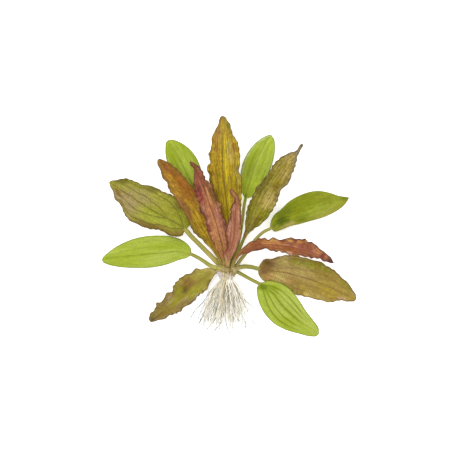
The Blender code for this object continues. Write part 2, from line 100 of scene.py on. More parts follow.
BLADE_HALF_THICKNESS = 0.17
BLADE_EDGE_POWER = 8  # how blunt a blade's edge is
RIB_HALF_THICKNESS = 0.26  # what the midrib adds
RIB_HALF_WIDTH = 1.5
KEEL_HEIGHT = 0.5  # how far the midrib stands out underneath
KEEL_HALF_WIDTH = 0.8
GROOVE_DEPTH = 0.3  # how deep the midrib lies on the upper side
GROOVE_HALF_WIDTH = 0.9
NERVE_HALF_WIDTH = 0.55
ASIDE_SHARE = 0.3  # share of the blade over which the midrib comes back to the middle
NERVE_TURN = 2.5  # how fast a side nerve leaves the midrib
CROSS_SLANT = 0.7  # how far the cross veins climb towards the edge, over the way across
CROSS_SWAY = (2, 3)  # how far and how often they waver
SCALLOP_TURN = 1.3  # where an edge stands out, against where it is highest
FRILL_DRIFT = (2.5, 17)  # how far and how often the frills' spacing drifts
EDGE_POWER = 3  # an edge's lift starts beyond mid way out
RELIEF_START = 0.1  # shares of the blade without relief at its base and at its tip
RELIEF_END = 0.08
TIP_THINNER = 0.45  # how much of its thickness a blade loses at its tip
UPPER_LOWEST = 0.02  # a blade that lies on the table keeps its upper side this far above it
SEAM_GAP = 0.002  # points closer than this are joined where a skin closes

# Shares of the blade's length, as in the solids
FIRST_WAY = 0.05  # the midrib's first stretch, which gives the blade's direction there
CUP_SHARE = 0.3  # the edges' lift has risen
TIP_LIFT_SHARE = 0.6  # and passes over into the tip's from here
LIFT_END = 0.1  # the stretch before the tip over which it fades
WAVE_SHARE = 0.2  # the edges' waves have risen
WAVE_END = 0.12  # the stretch before the tip over which they fade
TIP_THIN_SHARE = 0.8  # the tip's thinning begins


def leaf(name, slot, stalk, width, mid, left, right, cup=(0, 0, 0, 0), wave=(0, 0, 0, 0)):
    """One leaf: its lines from the rootstock to the tip, seen from above.

    stalk and mid hold (x, y, z) points, left and right (x, y) points of the edges as seen from the
    base. width is the stalk's half width at its start and at the blade. cup holds how far the left
    edge lies above the midrib at mid length and near the tip, then the right edge's. wave holds
    the height and the number of the waves on the left edge, then on the right.
    """
    return SimpleNamespace(**locals())


LEAVES = (
    leaf(
        "leaf_green_left", "green_leaf",
        stalk=((-13.3, -42.4, 10.0), (-17.5, -41.0, 8.6), (-25.0, -36.2, 5.4), (-32.0, -32.0, 2.8)),
        width=(2.0, 1.6),
        mid=((-38.5, -29.0, 1.5), (-52, -26.4, 0.42), (-70, -27.6, 0.42), (-95, -30, 0.42),
             (-112, -32, 0.42), (-127.2, -34.6, 0.42)),
        left=((-41, -32.2), (-50, -35), (-62, -39.4), (-76, -42.3), (-95, -42.9), (-112, -41.6),
              (-122, -39.2), (-126.3, -36.8)),
        right=((-37.8, -25.5), (-40, -20.5), (-46, -15.6), (-56, -11.7), (-70, -10.5), (-86, -11.6),
               (-100, -15.4), (-113, -21.7), (-122, -28.4), (-126.2, -32.4)),
        cup=(1.2, 0.4, 1.4, 0.5),
    ),
    leaf(
        "leaf_olive_left", "olive_leaf",
        stalk=((-9.4, -40.2, 9.2), (-14, -35, 11), (-21, -27.8, 12.5), (-30, -18.8, 13.5),
               (-37.5, -11.3, 13.5)),
        width=(2.3, 2.0),
        mid=((-43.5, -4.5, 13), (-50, 0.2, 12.3), (-60, 5.6, 11), (-80, 16.8, 8.5), (-100, 29.8, 5),
             (-119.8, 43, 1.5)),
        left=((-46, -10), (-52, -11.8), (-58, -10.8), (-69, -5.2), (-80, -3.8), (-90, 0), (-100.5, 5.6),
              (-105, 12), (-108.2, 20), (-113.6, 25.6), (-116, 33), (-119.2, 40)),
        right=((-39.2, -1), (-38.4, 6), (-41.5, 15), (-48, 23.5), (-56, 29.6), (-65, 33), (-75, 38.3),
               (-86, 40.3), (-96, 44.6), (-104, 46.7), (-112, 45), (-117.5, 44.4)),
        cup=(-1.5, 0.8, 1.8, 1.2), wave=(0.9, 5, 0.7, 5),
    ),
    leaf(
        "leaf_amber_left", "amber_leaf",
        stalk=((-7.6, -40.4, 12.9), (-8.4, -37.4, 13.7)),
        width=(1.9, 1.9),
        mid=((-9, -35.5, 14.3), (-12, -29, 16.2), (-20, -15, 19.5), (-28, -2, 22), (-36, 13, 23),
             (-44, 28, 22), (-52, 42, 19.5), (-61, 55, 15.5), (-69.8, 66, 11)),
        left=((-13.5, -30.5), (-20, -22), (-25.5, -16), (-36, -6), (-39.5, 3), (-45, 13), (-50, 20),
              (-55.5, 29.5), (-60, 35.5), (-61.3, 41), (-65, 45.5), (-68, 53), (-71.2, 61),
              (-71.2, 64.6)),
        right=((-9, -30), (-12.5, -20), (-19, 0), (-24, 15), (-29, 28), (-36.5, 38), (-45, 48.5),
               (-52, 56), (-60, 62), (-66, 65.2)),
        cup=(-1.5, 0.5, 2.0, 0.8), wave=(1.1, 5, 0.8, 5),
    ),
    leaf(
        "leaf_green_back_left", "green_leaf",
        stalk=((-5.5, -40.4, 6.8), (-10, -24, 4.8), (-18.5, -4, 2.8)),
        width=(1.8, 1.5),
        mid=((-26.5, 13, 1.6), (-33, 30, 0.6), (-42, 48, 0.5), (-51, 66, 0.5), (-60.6, 85, 0.5)),
        left=((-30.5, 13), (-38, 20.5), (-47, 32), (-55, 45), (-61, 60), (-63.4, 70), (-63.6, 78),
              (-62.8, 83)),
        right=((-23, 17), (-22.5, 27), (-25, 41), (-28, 56), (-32.5, 67), (-40.5, 77), (-50, 83.2),
               (-57.5, 85.4)),
        cup=(1.0, 0.4, 1.2, 0.4),
    ),
    leaf(
        "leaf_red_centre", "red_leaf",
        stalk=((-4.4, -40.4, 16.5), (-4.2, -38.4, 17.6)),
        width=(2.2, 2.3),
        mid=((-4, -36.5, 18.6), (-5, -28, 22), (-7.5, -15, 27), (-10.8, 0, 31), (-15.4, 13, 33),
             (-20.6, 28, 33.5), (-24.5, 38, 31.5), (-30, 50, 27), (-34.6, 58, 23.5), (-38.8, 63, 21)),
        left=((-9.5, -29.5), (-15, -18.5), (-20.3, -9), (-23, 2), (-24, 9), (-28.6, 11.5), (-28.8, 18),
              (-32, 26), (-34.2, 36), (-35.2, 44), (-34.2, 52), (-36.8, 57.5), (-38.8, 61)),
        right=((-0.8, -30), (0.4, -18), (-0.6, -7), (-2.6, 3), (-7.2, 13.5), (-7.6, 20.5), (-12, 26),
               (-15, 34), (-18.8, 41.6), (-22.4, 44.4), (-25.6, 52), (-31, 58.8), (-36.6, 62.6)),
        cup=(-1.5, 0.8, -1.0, 0.8), wave=(2.2, 5, 1.8, 5),
    ),
    leaf(
        "leaf_gold_tall", "gold_leaf",
        stalk=((-1.0, -40.1, 12.3), (-0.7, -38.9, 12.6)),
        width=(2.3, 2.4),
        mid=((-0.4, -37.5, 13), (0.5, -25, 15), (1, 0, 18.5), (-1, 25, 20.5), (-3.5, 50, 20.5),
             (-5, 75, 17), (-5.8, 95, 11.5), (-6, 109, 6)),
        left=((-4, -28), (-7, -10), (-11, 10), (-15, 26), (-19.2, 42), (-20, 50), (-22.1, 57),
              (-18.9, 62), (-20.4, 70), (-17.6, 77.5), (-17.6, 83), (-14.8, 93), (-11.2, 99),
              (-9.8, 105), (-8, 108.4)),
        right=((4.6, -29), (8.4, -17), (11, -2), (12, 16), (12.6, 34), (12.7, 46), (10, 53.5), (11, 63),
               (10.4, 74), (8, 83.6), (5, 88.2), (2.4, 95), (1.4, 100), (-1.2, 103.4), (-3.4, 107.6)),
        cup=(-1.0, -0.5, -1.0, -0.5), wave=(1.6, 8, 1.4, 8),
    ),
    leaf(
        "leaf_red_small", "red_leaf",
        stalk=((-1.3, -40.4, 21.1), (-1.2, -38.6, 22.4)),
        width=(2.0, 2.0),
        mid=((-1, -36.8, 23.8), (0.9, -28, 29), (4.5, -12, 36), (6, 0, 40), (6.4, 12, 42.5),
             (7, 22, 43), (6.3, 29, 42), (1.9, 36, 40)),
        left=((-4.8, -31), (-4.4, -26), (-2, -21.5), (-2.4, -14), (-3.2, -5), (-0.6, 2), (1.2, 10),
              (2, 18.4), (4.6, 22), (4.4, 26.6), (1.8, 30), (0.4, 33.6)),
        right=((2.8, -32), (7, -25), (10, -17.5), (12.4, -10), (12.3, 0), (11.7, 9), (10.6, 21),
               (9.2, 28), (5.8, 33)),
        cup=(2.4, 0.8, 0.6, 0.4), wave=(1.1, 4, 0.7, 4),
    ),
    leaf(
        "leaf_green_back_right", "green_leaf",
        stalk=((3.0, -40.4, 7.4), (7.5, -25, 6.4), (11.8, -6, 5), (14, 10, 3.8), (15.2, 20, 2.6)),
        width=(1.7, 1.4),
        mid=((16.6, 27, 1.6), (19, 38, 0.6), (23.5, 52, 0.5), (29, 66, 0.5), (35, 79, 0.5),
             (42.4, 90, 0.5)),
        left=((14.2, 29.4), (12.2, 35), (11.4, 45), (12.2, 55), (15, 65), (20.5, 75.2), (27, 82.6),
              (34, 87.6), (39.5, 90)),
        right=((20.6, 27.2), (26, 31), (32, 37.6), (38, 47.4), (42, 57.6), (45, 69), (46, 79), (45, 86)),
        cup=(1.0, 0.4, 1.2, 0.4),
    ),
    leaf(
        "leaf_bronze_right", "bronze_leaf",
        stalk=((3.6, -40.4, 14.7), (5.6, -34.5, 15.5), (9.5, -25.5, 16.5)),
        width=(1.6, 1.5),
        mid=((13.8, -15.5, 17.5), (18, -4, 18.5), (25, 10, 19), (34, 28, 18), (43, 43, 15.5),
             (52, 56, 12.5), (61, 67, 10.5), (67.5, 73, 10.5), (74, 80.2, 12.5)),
        left=((15.4, -6), (16.4, 6), (18.4, 18), (22, 26), (27, 36.6), (33.4, 44), (40, 53), (44, 60),
              (51, 67), (59.6, 71.8), (65, 73), (68, 75.6), (70, 79), (72.4, 80.8)),
        right=((19, -9.4), (25, -4), (33, 1.6), (40, 9.6), (45.6, 18.6), (48.6, 25), (50.6, 32),
               (53.6, 37), (59.6, 41.6), (62, 49), (65, 55.4), (67.2, 63), (68.8, 70), (71.4, 74.6),
               (73.6, 78.6)),
        cup=(1.6, 0.8, -2.0, 0.6), wave=(0.8, 5, 1.7, 6),
    ),
    leaf(
        "leaf_green_right", "deep_green_leaf",
        stalk=((7.6, -40.2, 12.8), (10.4, -36, 13.4), (15.5, -29.5, 14), (22, -20, 14.5),
               (28, -12.5, 14), (35, -6.5, 12.5)),
        width=(1.8, 1.4),
        mid=((41.5, -3.4, 10.5), (47, 1.6, 9), (55, 6, 6.2), (70, 12.5, 3), (90, 19, 1.0),
             (105, 23.5, 0.6), (120.3, 27.6, 0.5)),
        left=((41.2, 2), (44.6, 9.6), (51, 15), (60, 23.5), (70, 29.4), (80, 33), (90, 34.1),
              (100, 32.4), (110, 29.2), (116.6, 28.2)),
        right=((44.6, -6.4), (52, -5), (60, -1.6), (70, 0.8), (82, 4.2), (94, 7.6), (105, 12.5),
               (113.6, 18.4), (118.6, 24.4)),
        cup=(2.2, 0.6, 1.0, 0.6),
    ),
    leaf(
        "leaf_red_arching", "rust_leaf",
        stalk=((3.2, -40.4, 18.5), (4.1, -37.6, 20.2)),
        width=(1.9, 2.0),
        mid=((5.4, -34.8, 22), (9, -30, 25.2), (14.6, -25.8, 29.4), (22.4, -22, 34), (32, -19.4, 38),
             (45, -20, 40.5), (60, -22, 39.5), (75, -25.4, 35.5), (88, -29.6, 29), (97, -33.8, 23),
             (104.3, -38, 18)),
        left=((12, -23.6), (19, -18), (26, -14.8), (33, -12.6), (39, -14), (44.6, -12.2), (50.6, -14.4),
              (57, -13.4), (62.4, -11.9), (67, -14), (73.6, -13.4), (79.6, -16.6), (85, -18.2),
              (89, -23.4), (95, -26.4), (101, -32.4)),
        right=((12.4, -29.4), (20, -27.6), (28, -25), (35.6, -23.6), (44, -26.2), (50, -26.4),
               (57, -28.6), (65, -30.8), (73, -30.8), (80, -32.6), (88, -33.2), (96, -36.6),
               (101.4, -38)),
        cup=(-3.0, -1.5, -4.0, -1.5), wave=(2.2, 6, 1.6, 6),
    ),
    leaf(
        "leaf_tan_right", "tan_leaf",
        stalk=((8.8, -42.9, 9.8), (13, -41.6, 9.0), (21, -41.7, 7)),
        width=(2.2, 1.8),
        mid=((29.3, -43.6, 4.8), (40, -46, 3.6), (60, -51.5, 2.6), (80, -57.5, 2), (100, -64.5, 1.6),
             (115, -70, 1.2), (127, -74.2, 1)),
        left=((31.4, -38.4), (35.6, -34), (43, -33.6), (51, -31), (61, -29.9), (71, -31.4), (81, -34.2),
              (91, -36.6), (98, -41), (105.6, -45.4), (111.6, -51.4), (118.4, -57.6), (124, -65),
              (127.2, -71.6)),
        right=((29.4, -49), (34, -55.4), (42, -58), (52, -62), (62, -68.4), (72, -70.8), (80, -72.6),
               (90, -75), (101, -77.3), (111, -75.4), (121, -76.6), (125.6, -76)),
        cup=(2.6, 1.0, -1.4, 0.4), wave=(0.9, 5, 0.4, 6),
    ),
    leaf(
        "leaf_green_lower_right", "green_leaf",
        stalk=((7.7, -46.5, 7.8), (12, -48.7, 7.2), (20, -53.2, 6.2)),
        width=(1.7, 1.5),
        mid=((30.3, -58.6, 5.4), (38, -63, 4.8), (45.5, -69, 3.6), (53, -79, 2), (62, -88, 0.8),
             (75, -99, 0.5), (90, -108.8, 0.5)),
        left=((33.6, -57), (39, -55.8), (46, -56.3), (54, -59.2), (62, -65), (70, -75), (77, -86),
              (84, -95), (89.6, -103.4)),
        right=((28, -62), (28, -69), (31, -80), (36.4, -89.6), (45, -98.6), (56, -104.6), (70, -108.8),
               (81, -111.3), (87.6, -111)),
        cup=(1.6, 0.5, -1.6, 0.4),
    ),
    leaf(
        "leaf_bronze_lower_left", "bronze_leaf",
        stalk=((-12.9, -44.4, 6.6), (-14.4, -45, 6.5)),
        width=(2.0, 3.9),
        mid=((-16.2, -46, 6.3), (-23, -52, 5.6), (-32, -60.4, 4.4), (-42, -70, 3.6), (-52, -78.6, 3),
             (-62, -86.2, 1.8), (-70, -91.6, 1.1), (-78, -97.4, 0.6)),
        left=((-17, -54), (-20.4, -61), (-23, -65.2), (-31, -71), (-37, -78.4), (-43, -80.6),
              (-48, -86.2), (-54, -88.8), (-60, -91), (-66, -94.4), (-73, -96)),
        right=((-21, -42.6), (-28, -44), (-34, -43.4), (-38.4, -48.4), (-44, -49.6), (-50, -54),
               (-56, -61.4), (-57.4, -67), (-62, -67.6), (-65.4, -73), (-67.7, -77.2), (-71.6, -77),
               (-74, -83.6), (-79.4, -90), (-80.2, -94.6)),
        cup=(-1.0, 0.4, 0.8, 0.8), wave=(1.5, 6, 2.0, 6),
    ),
)


# ---------------------------------------------------------------- leaves: shape


def ease(share):
    """Rises from 0 to 1 with level ends."""
    share = np.clip(share, 0.0, 1.0)
    return share * share * (3 - 2 * share)


def rise(value, nothing, full):
    """Rises from 0 to 1 on the way from one value to another, with level ends."""
    return ease((value - nothing) / (full - nothing))


def hump(distance, half_width):
    """1 in the middle of a line, falling away on both sides."""
    return np.exp(-((distance / half_width) ** 2))


def unit(vectors):
    """The same directions with length one."""
    length = np.linalg.norm(vectors, axis=-1, keepdims=True)
    return vectors / np.maximum(length, 1e-9)


def steps_between(points):
    """The distances from each point to the next."""
    return np.linalg.norm(np.diff(np.array(points, float), axis=0), axis=1)


def smooth_line(points, shares):
    """Where a smooth line through the points is, at shares of its length."""
    points = np.array(points, float)
    steps = steps_between(points)
    at = np.concatenate([[0.0], np.cumsum(steps)]) / steps.sum()
    slopes = np.gradient(points, at, axis=0)
    shares = np.asarray(shares, float)
    first = np.clip(np.searchsorted(at, shares, side="right") - 1, 0, len(at) - 2)
    width = (at[first + 1] - at[first])[:, None]
    s = (shares - at[first])[:, None] / width
    return (
        (2 * s**3 - 3 * s**2 + 1) * points[first]
        + (s**3 - 2 * s**2 + s) * width * slopes[first]
        + (3 * s**2 - 2 * s**3) * points[first + 1]
        + (s**3 - s**2) * width * slopes[first + 1]
    )


def level_left(forward):
    """The level direction to the left of each given direction."""
    return unit(np.cross((0.0, 0.0, 1.0), forward))


def crown_radius(y):
    """The rootstock's radius at a place along Y."""
    places, radii = zip(*CROWN_PROFILE)
    return np.interp(-np.asarray(y), -np.array(places), radii)


def crown_point(turn, y, radius):
    """A point round the rootstock's middle, turned from its front side that faces up."""
    x = CROWN_X + radius * np.sin(turn)
    z = CROWN_Z + CROWN_FLATTEN * radius * np.cos(turn)
    return np.stack([x, np.broadcast_to(y, x.shape), z], axis=-1)


def clasp_points(plan):
    """Where a sheath runs on down the rootstock's side or round its front, before its stalk."""
    x, y, z = plan.stalk[0]
    turn = math.atan2(x - CROWN_X, (z - CROWN_Z) / CROWN_FLATTEN)
    drop, round_share = plan.look.clasp
    points = []
    for share, sink in CLASP_PLACES:
        place = y - drop * share
        radius = float(crown_radius(min(place, CROWN_SHOULDER))) - sink
        points.append(tuple(crown_point(turn * (1 - round_share * share), place, radius)))
    return points


def stalk_line(plan):
    """The points of the sheath, the stalk and the blade's start, and the steps between them."""
    line = (*clasp_points(plan), *plan.stalk, *plan.mid[:2])
    return line, steps_between(line)


def stalk_length(plan):
    """How long the sheath and the stalk are, up to the blade."""
    return stalk_line(plan)[1][:-1].sum()


def stalk_rows(plan):
    """Middle and edges of the stalk, which widens into a sheath at the rootstock."""
    line, steps = stalk_line(plan)
    length = steps[:-1].sum()
    share_of_stalk = length / steps.sum()
    count = max(4, round(length / STALK_ROW_STEP))
    shares = np.linspace(0.0, share_of_stalk, count + 1)[:-1]
    middle = smooth_line(line, shares)
    turn = SHEATH_TURN / steps.sum()
    onwards = smooth_line(line, shares + turn) - smooth_line(line, np.maximum(shares - turn, 0.0))
    gone = shares * steps.sum()
    sheath = 1 - ease(gone / min(SHEATH_LENGTH, length))
    half_width = np.interp(shares, (0.0, share_of_stalk), plan.width)
    half_width *= STALK_SWELL + plan.look.flare * sheath
    half_height = STALK_HEIGHT * half_width * (1 - SHEATH_FLATTEN * sheath)
    side = level_left(unit(onwards)) * half_width[:, None]
    return middle, middle + side, middle - side, half_height, gone - length


def blade_rows(plan):
    """Middle and edges of the blade, along the solid's lines, and how high the edges' folds stand."""
    look = plan.look
    shares = np.linspace(0.0, 1.0, BLADE_ROWS)
    middle = smooth_line(plan.mid, shares)
    start, next_on = smooth_line(plan.mid, (0.0, FIRST_WAY))
    side = level_left(next_on - start) * plan.width[1]
    fade = ease(shares / WAVE_SHARE) * ease((1 - shares) / WAVE_END)
    near_tip = rise(shares, TIP_LIFT_SHARE, 1)
    drift, drift_turns = FRILL_DRIFT
    edges, crests = [], []
    for outline, hand, (cup, tip), (high, count) in (
        (plan.left, 1, plan.cup[:2], plan.wave[:2]),
        (plan.right, -1, plan.cup[2:], plan.wave[2:]),
    ):
        first = start + hand * side
        flat = smooth_line((tuple(first[:2]), *outline, plan.mid[-1][:2]), shares)
        swell = np.sin(WHOLE_TURN * count * shares + hand)
        turns = WHOLE_TURN * look.frills * shares + drift * np.sin(drift_turns * shares + hand)
        scallop = look.scallop * fade * np.sin(turns + SCALLOP_TURN)
        flat = flat + unit(flat - middle[:, :2]) * scallop[:, None]
        lift = cup * ease(shares / CUP_SHARE) + (tip - cup) * near_tip
        lift *= ease((1 - shares) / LIFT_END)
        lift += high * fade * swell
        lift += look.frill * fade * np.sin(turns)
        edges.append(np.column_stack([flat, middle[:, 2] + lift]))
        crests.append(0.5 * fade * (np.sin(turns) + swell))
    return middle, edges, crests, shares


def nerve_place(pair, along):
    """How far out a pair of side nerves runs, as a share of the half width."""
    target, start, reach = pair
    return target * (1 - np.exp(-np.maximum(along - start, 0) * NERVE_TURN / reach))


def midrib_place(aside, along):
    """How far the midrib lies beside the blade's middle, as a share of the half width."""
    return aside * ease(along / ASIDE_SHARE) * ease((1 - along) / ASIDE_SHARE)


def column(*lists):
    """Lists of numbers, one after the other, as a single column."""
    return np.concatenate(lists)[:, None]


def leaf_skin(plan):
    """Points of the upper and the lower side, as rows of lanes, and where each is on the leaf."""
    look = plan.look
    stalk_middle, stalk_left, stalk_right, stalk_half, before = stalk_rows(plan)
    blade_middle, (blade_left, blade_right), crests, shares = blade_rows(plan)
    middle = np.vstack([stalk_middle, blade_middle])
    left = np.vstack([stalk_left, blade_left])
    right = np.vstack([stalk_right, blade_right])

    no_crest = np.zeros(len(stalk_middle))
    length = np.concatenate([[0.0], np.cumsum(steps_between(blade_middle))])
    along_mm = column(before, length)
    along = column(before / length[-1], shares)
    round_part = column(no_crest + 1, 1 - ease(shares / STALK_SHARE))
    blade = 1 - round_part
    blade_start = min(STALK_HEIGHT * plan.width[1], BASE_HALF_HEIGHT)
    half_height = column(np.minimum(stalk_half, BASE_HALF_HEIGHT), np.full(len(shares), blade_start))

    lane = np.linspace(0.0, 1.0, LANES + 1)[None, :]
    across = (1 - 2 * lane) * EVEN_LANES * blade + np.cos(math.pi * lane) * (1 - EVEN_LANES * blade)
    out = np.abs(across)
    edge = np.where(across[..., None] >= 0, left[:, None], right[:, None])
    to_edge = edge - middle[:, None]
    half_width = np.linalg.norm(to_edge[..., :2], axis=-1)
    across_mm = across * half_width
    crest_left, crest_right = (column(no_crest, crest) for crest in crests)
    crest = np.where(across >= 0, crest_left, crest_right) * out**EDGE_POWER

    skin = middle[:, None] + to_edge * out[..., None]
    bend = out ** (1 + (EDGE_POWER - 1) * blade)
    skin[..., 2] = middle[:, None, 2] + to_edge[..., 2] * bend

    ends = ease(along / RELIEF_START) * ease((1 - along) / RELIEF_END)
    relief = look.arch * np.sin(math.pi * out) * ends
    from_rib = (across - midrib_place(look.aside, along)) * half_width
    relief -= GROOVE_DEPTH * hump(from_rib, GROOVE_HALF_WIDTH) * blade * ends
    for pair in look.pairs:
        apart = np.abs(from_rib) - nerve_place(pair, along) * half_width
        relief -= look.nerve_depth * hump(apart, NERVE_HALF_WIDTH) * ends
    sway, sway_turns = CROSS_SWAY
    climb = along_mm - CROSS_SLANT * np.abs(across_mm)
    ribs = np.sin(WHOLE_TURN * climb / look.ladder[0] + sway * np.sin(sway_turns * across))
    relief += look.pucker * ribs * np.sin(math.pi * out) ** 2 * ends

    normal = unit(np.cross(np.gradient(skin, axis=1), np.gradient(skin, axis=0)))
    normal[-1] = normal[-2]
    skin = skin + normal * relief[..., None]

    thin = 1 - TIP_THINNER * rise(along, TIP_THIN_SHARE, 1)
    rib = RIB_HALF_THICKNESS * hump(from_rib, RIB_HALF_WIDTH) * (1 - along)
    blade_half = (BLADE_HALF_THICKNESS + rib) * thin * np.sqrt(1 - out**BLADE_EDGE_POWER)
    half = blade_half * blade + half_height * np.sqrt(1 - out**2) * round_part
    channel = CHANNEL * half_height * hump(across, CHANNEL_WIDTH) * round_part
    keel = KEEL_HEIGHT * hump(from_rib, KEEL_HALF_WIDTH) * blade * np.clip(1 - along, 0, 1)
    upper = skin + normal * (half - channel)[..., None]
    lower = skin - normal * (half + keel)[..., None]
    upper[:, (0, -1)] = lower[:, (0, -1)] = skin[:, (0, -1)]
    upper[..., 2] = np.maximum(upper[..., 2], UPPER_LOWEST)
    lower[..., 2] = np.maximum(lower[..., 2], 0.0)

    along, along_mm = (np.broadcast_to(values, across.shape) for values in (along, along_mm))
    place = np.stack([across, along, np.zeros(across.shape)], axis=-1)
    place_mm = np.stack([across_mm, along_mm, half_width], axis=-1)
    return upper, lower, place, place_mm, crest


def wrap(upper, lower):
    """Columns from the left edge over the top to the right edge and back underneath to the left."""
    return np.concatenate([upper, lower[:, -2::-1]], axis=1)


def place_vertices(obj, points):
    """Moves the vertices to points in the drawing's millimetres."""
    moved = (points - (0.0, MIDDLE_Y, 0.0)) * MM
    obj.data.vertices.foreach_set("co", moved.ravel())
    obj.data.update()


def sheet(name, skin):
    """A grid in the shape of a skin, given as rows of points, and each vertex's row and column."""
    rows, columns = skin.shape[:2]
    bpy.ops.object.select_all(action="DESELECT")
    bpy.ops.mesh.primitive_grid_add(x_subdivisions=columns - 1, y_subdivisions=rows - 1, size=1)
    obj = bpy.context.object
    obj.name = obj.data.name = name
    co = np.empty(len(obj.data.vertices) * 3)
    obj.data.vertices.foreach_get("co", co)
    x, y, _ = co.reshape(-1, 3).T + 0.5
    places = np.rint(y * (rows - 1)).astype(int), np.rint(x * (columns - 1)).astype(int)
    place_vertices(obj, skin[places])
    return obj, places


def add_attribute(obj, name, values):
    """Stores one number or three for each vertex."""
    kind, field = ("FLOAT_VECTOR", "vector") if values.ndim == 2 else ("FLOAT", "value")
    attribute = obj.data.attributes.new(name, kind, "POINT")
    attribute.data.foreach_set(field, values.astype(np.float32).ravel())


def close_skin(obj):
    """Joins the seam and the ends of a wrapped grid, and fills what stays open."""
    bpy.ops.object.mode_set(mode="EDIT")
    bpy.ops.mesh.select_all(action="SELECT")
    bpy.ops.mesh.remove_doubles(threshold=SEAM_GAP * MM)
    bpy.ops.mesh.select_all(action="DESELECT")
    bpy.ops.mesh.select_mode(type="VERT")
    bpy.ops.mesh.select_non_manifold(extend=False)
    bpy.ops.mesh.edge_face_add()
    bpy.ops.object.mode_set(mode="OBJECT")
    bpy.ops.object.shade_smooth()


def make_leaf(plan):
    """One leaf as a closed skin with its finish."""
    upper, lower, place, place_mm, crest = leaf_skin(plan)
    obj, places = sheet(plan.name.replace("leaf_", "blade_"), wrap(upper, lower))
    under = place.copy()
    under[..., 2] = 1.0
    under[:, (0, -1), 2] = 0.5
    add_attribute(obj, "leaf", wrap(place, under)[places])
    add_attribute(obj, "leaf_mm", wrap(place_mm, place_mm)[places])
    add_attribute(obj, "leaf_crest", wrap(crest, crest)[places])
    close_skin(obj)
    obj.data.materials.append(leaf_material(plan))
    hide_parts(plan.name)
    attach(obj, "root")


# ---------------------------------------------------------------- painting: tools

STUDIO_LIGHT = 1.28  # how strongly the light below brightens a level surface
SHEEN = 0.013  # what a leaf's gloss adds to that


def tone(red, green, blue):
    """The paint that looks, in this light, like a screen colour of 0 to 255."""
    screen = np.array((red, green, blue)) / 255
    light = np.where(screen <= 0.04045, screen / 12.92, ((screen + 0.055) / 1.055) ** 2.4)
    return (*(np.maximum(light - SHEEN, 0.002) / STUDIO_LIGHT), 1.0)


class Reading:
    """What a node gives. Arithmetic with readings adds the nodes that work it out."""

    def __init__(self, socket):
        self.socket = socket
        self.tree = socket.id_data

    def __add__(self, other):
        return reckon("ADD", self, other)

    def __radd__(self, other):
        return reckon("ADD", other, self)

    def __sub__(self, other):
        return reckon("SUBTRACT", self, other)

    def __rsub__(self, other):
        return reckon("SUBTRACT", other, self)

    def __mul__(self, other):
        return reckon("MULTIPLY", self, other)

    def __rmul__(self, other):
        return reckon("MULTIPLY", other, self)

    def __truediv__(self, other):
        return reckon("DIVIDE", self, other)

    def __abs__(self):
        return reckon("ABSOLUTE", self)


def feed(socket, value):
    """Links a node's input to a reading, or sets it to a plain value."""
    if isinstance(value, Reading):
        value.tree.links.new(value.socket, socket)
    else:
        socket.default_value = value


def put(tree, kind, inputs=(), gives=0, **settings):
    """Adds a node with its settings, feeds its inputs by name or place, and reads one output."""
    node = tree.nodes.new(kind)
    for setting, value in settings.items():
        setattr(node, setting, value)
    for name, value in dict(inputs).items():
        feed(node.inputs[name], value)
    return Reading(node.outputs[gives])


def tree_of(*values):
    """The node tree of the first reading among some values."""
    return next(value.tree for value in values if isinstance(value, Reading))


def reckon(operation, *values):
    """One step of arithmetic."""
    return put(tree_of(*values), "ShaderNodeMath", enumerate(values), operation=operation)


def between(value, low, high):
    """Rises softly from 0 at low to 1 at high, which may be the smaller one."""
    inputs = {"Value": value, "From Min": low, "From Max": high}
    return put(value.tree, "ShaderNodeMapRange", inputs, "Result", interpolation_type="SMOOTHSTEP")


def bell(distance, width):
    """1 on a line, falling away on both sides."""
    share = distance / width
    return reckon("EXPONENT", share * share * -1.0)


def blend(share, under, over):
    """One colour laid over another."""
    inputs = {0: share, 6: under, 7: over}
    return put(tree_of(share, under, over), "ShaderNodeMix", inputs, 2, data_type="RGBA")


def tone_ramp(place, tones):
    """Colours that pass into each other along a place, given as (place, tone) pairs."""
    ramp = put(place.tree, "ShaderNodeValToRGB", {"Fac": place}, "Color")
    steps = ramp.socket.node.color_ramp.elements
    for _ in tones[2:]:
        steps.new(0.5)
    for step, (at, paint) in zip(steps, tones):
        step.position = at
        step.color = paint
    return ramp


def parts(vector):
    """The three numbers of a vector."""
    split = put(vector.tree, "ShaderNodeSeparateXYZ", {"Vector": vector})
    return [Reading(output) for output in split.socket.node.outputs]


def point_at(x, y, z):
    """A vector of three numbers."""
    return put(tree_of(x, y, z), "ShaderNodeCombineXYZ", enumerate((x, y, z)))


def drawn_out(vector, scale):
    """A pattern's place, drawn out along the axes whose scale is small."""
    return put(vector.tree, "ShaderNodeMapping", {"Vector": vector, "Scale": scale})


def noise(vector, scale, detail=2.0, rough=0.5):
    """Cloudy values round one half."""
    inputs = {"Vector": vector, "Scale": scale, "Detail": detail, "Roughness": rough}
    return put(vector.tree, "ShaderNodeTexNoise", inputs, "Fac")


def clouds(vector, scale, clear, full, detail=2.0):
    """Soft clouds, 0 where the noise lies under the first value and 1 where it lies over the second."""
    return between(noise(vector, scale, detail), clear, full)


# ---------------------------------------------------------------- painting: shared effects

# Scales that draw a pattern out along the leaf: across it, along it, and from leaf to leaf
FIBRES = (1.05, 0.085, 1.0)
BLOTCHES = (0.42, 0.16, 1.0)
BROKEN = (0.4, 0.07, 1.0)

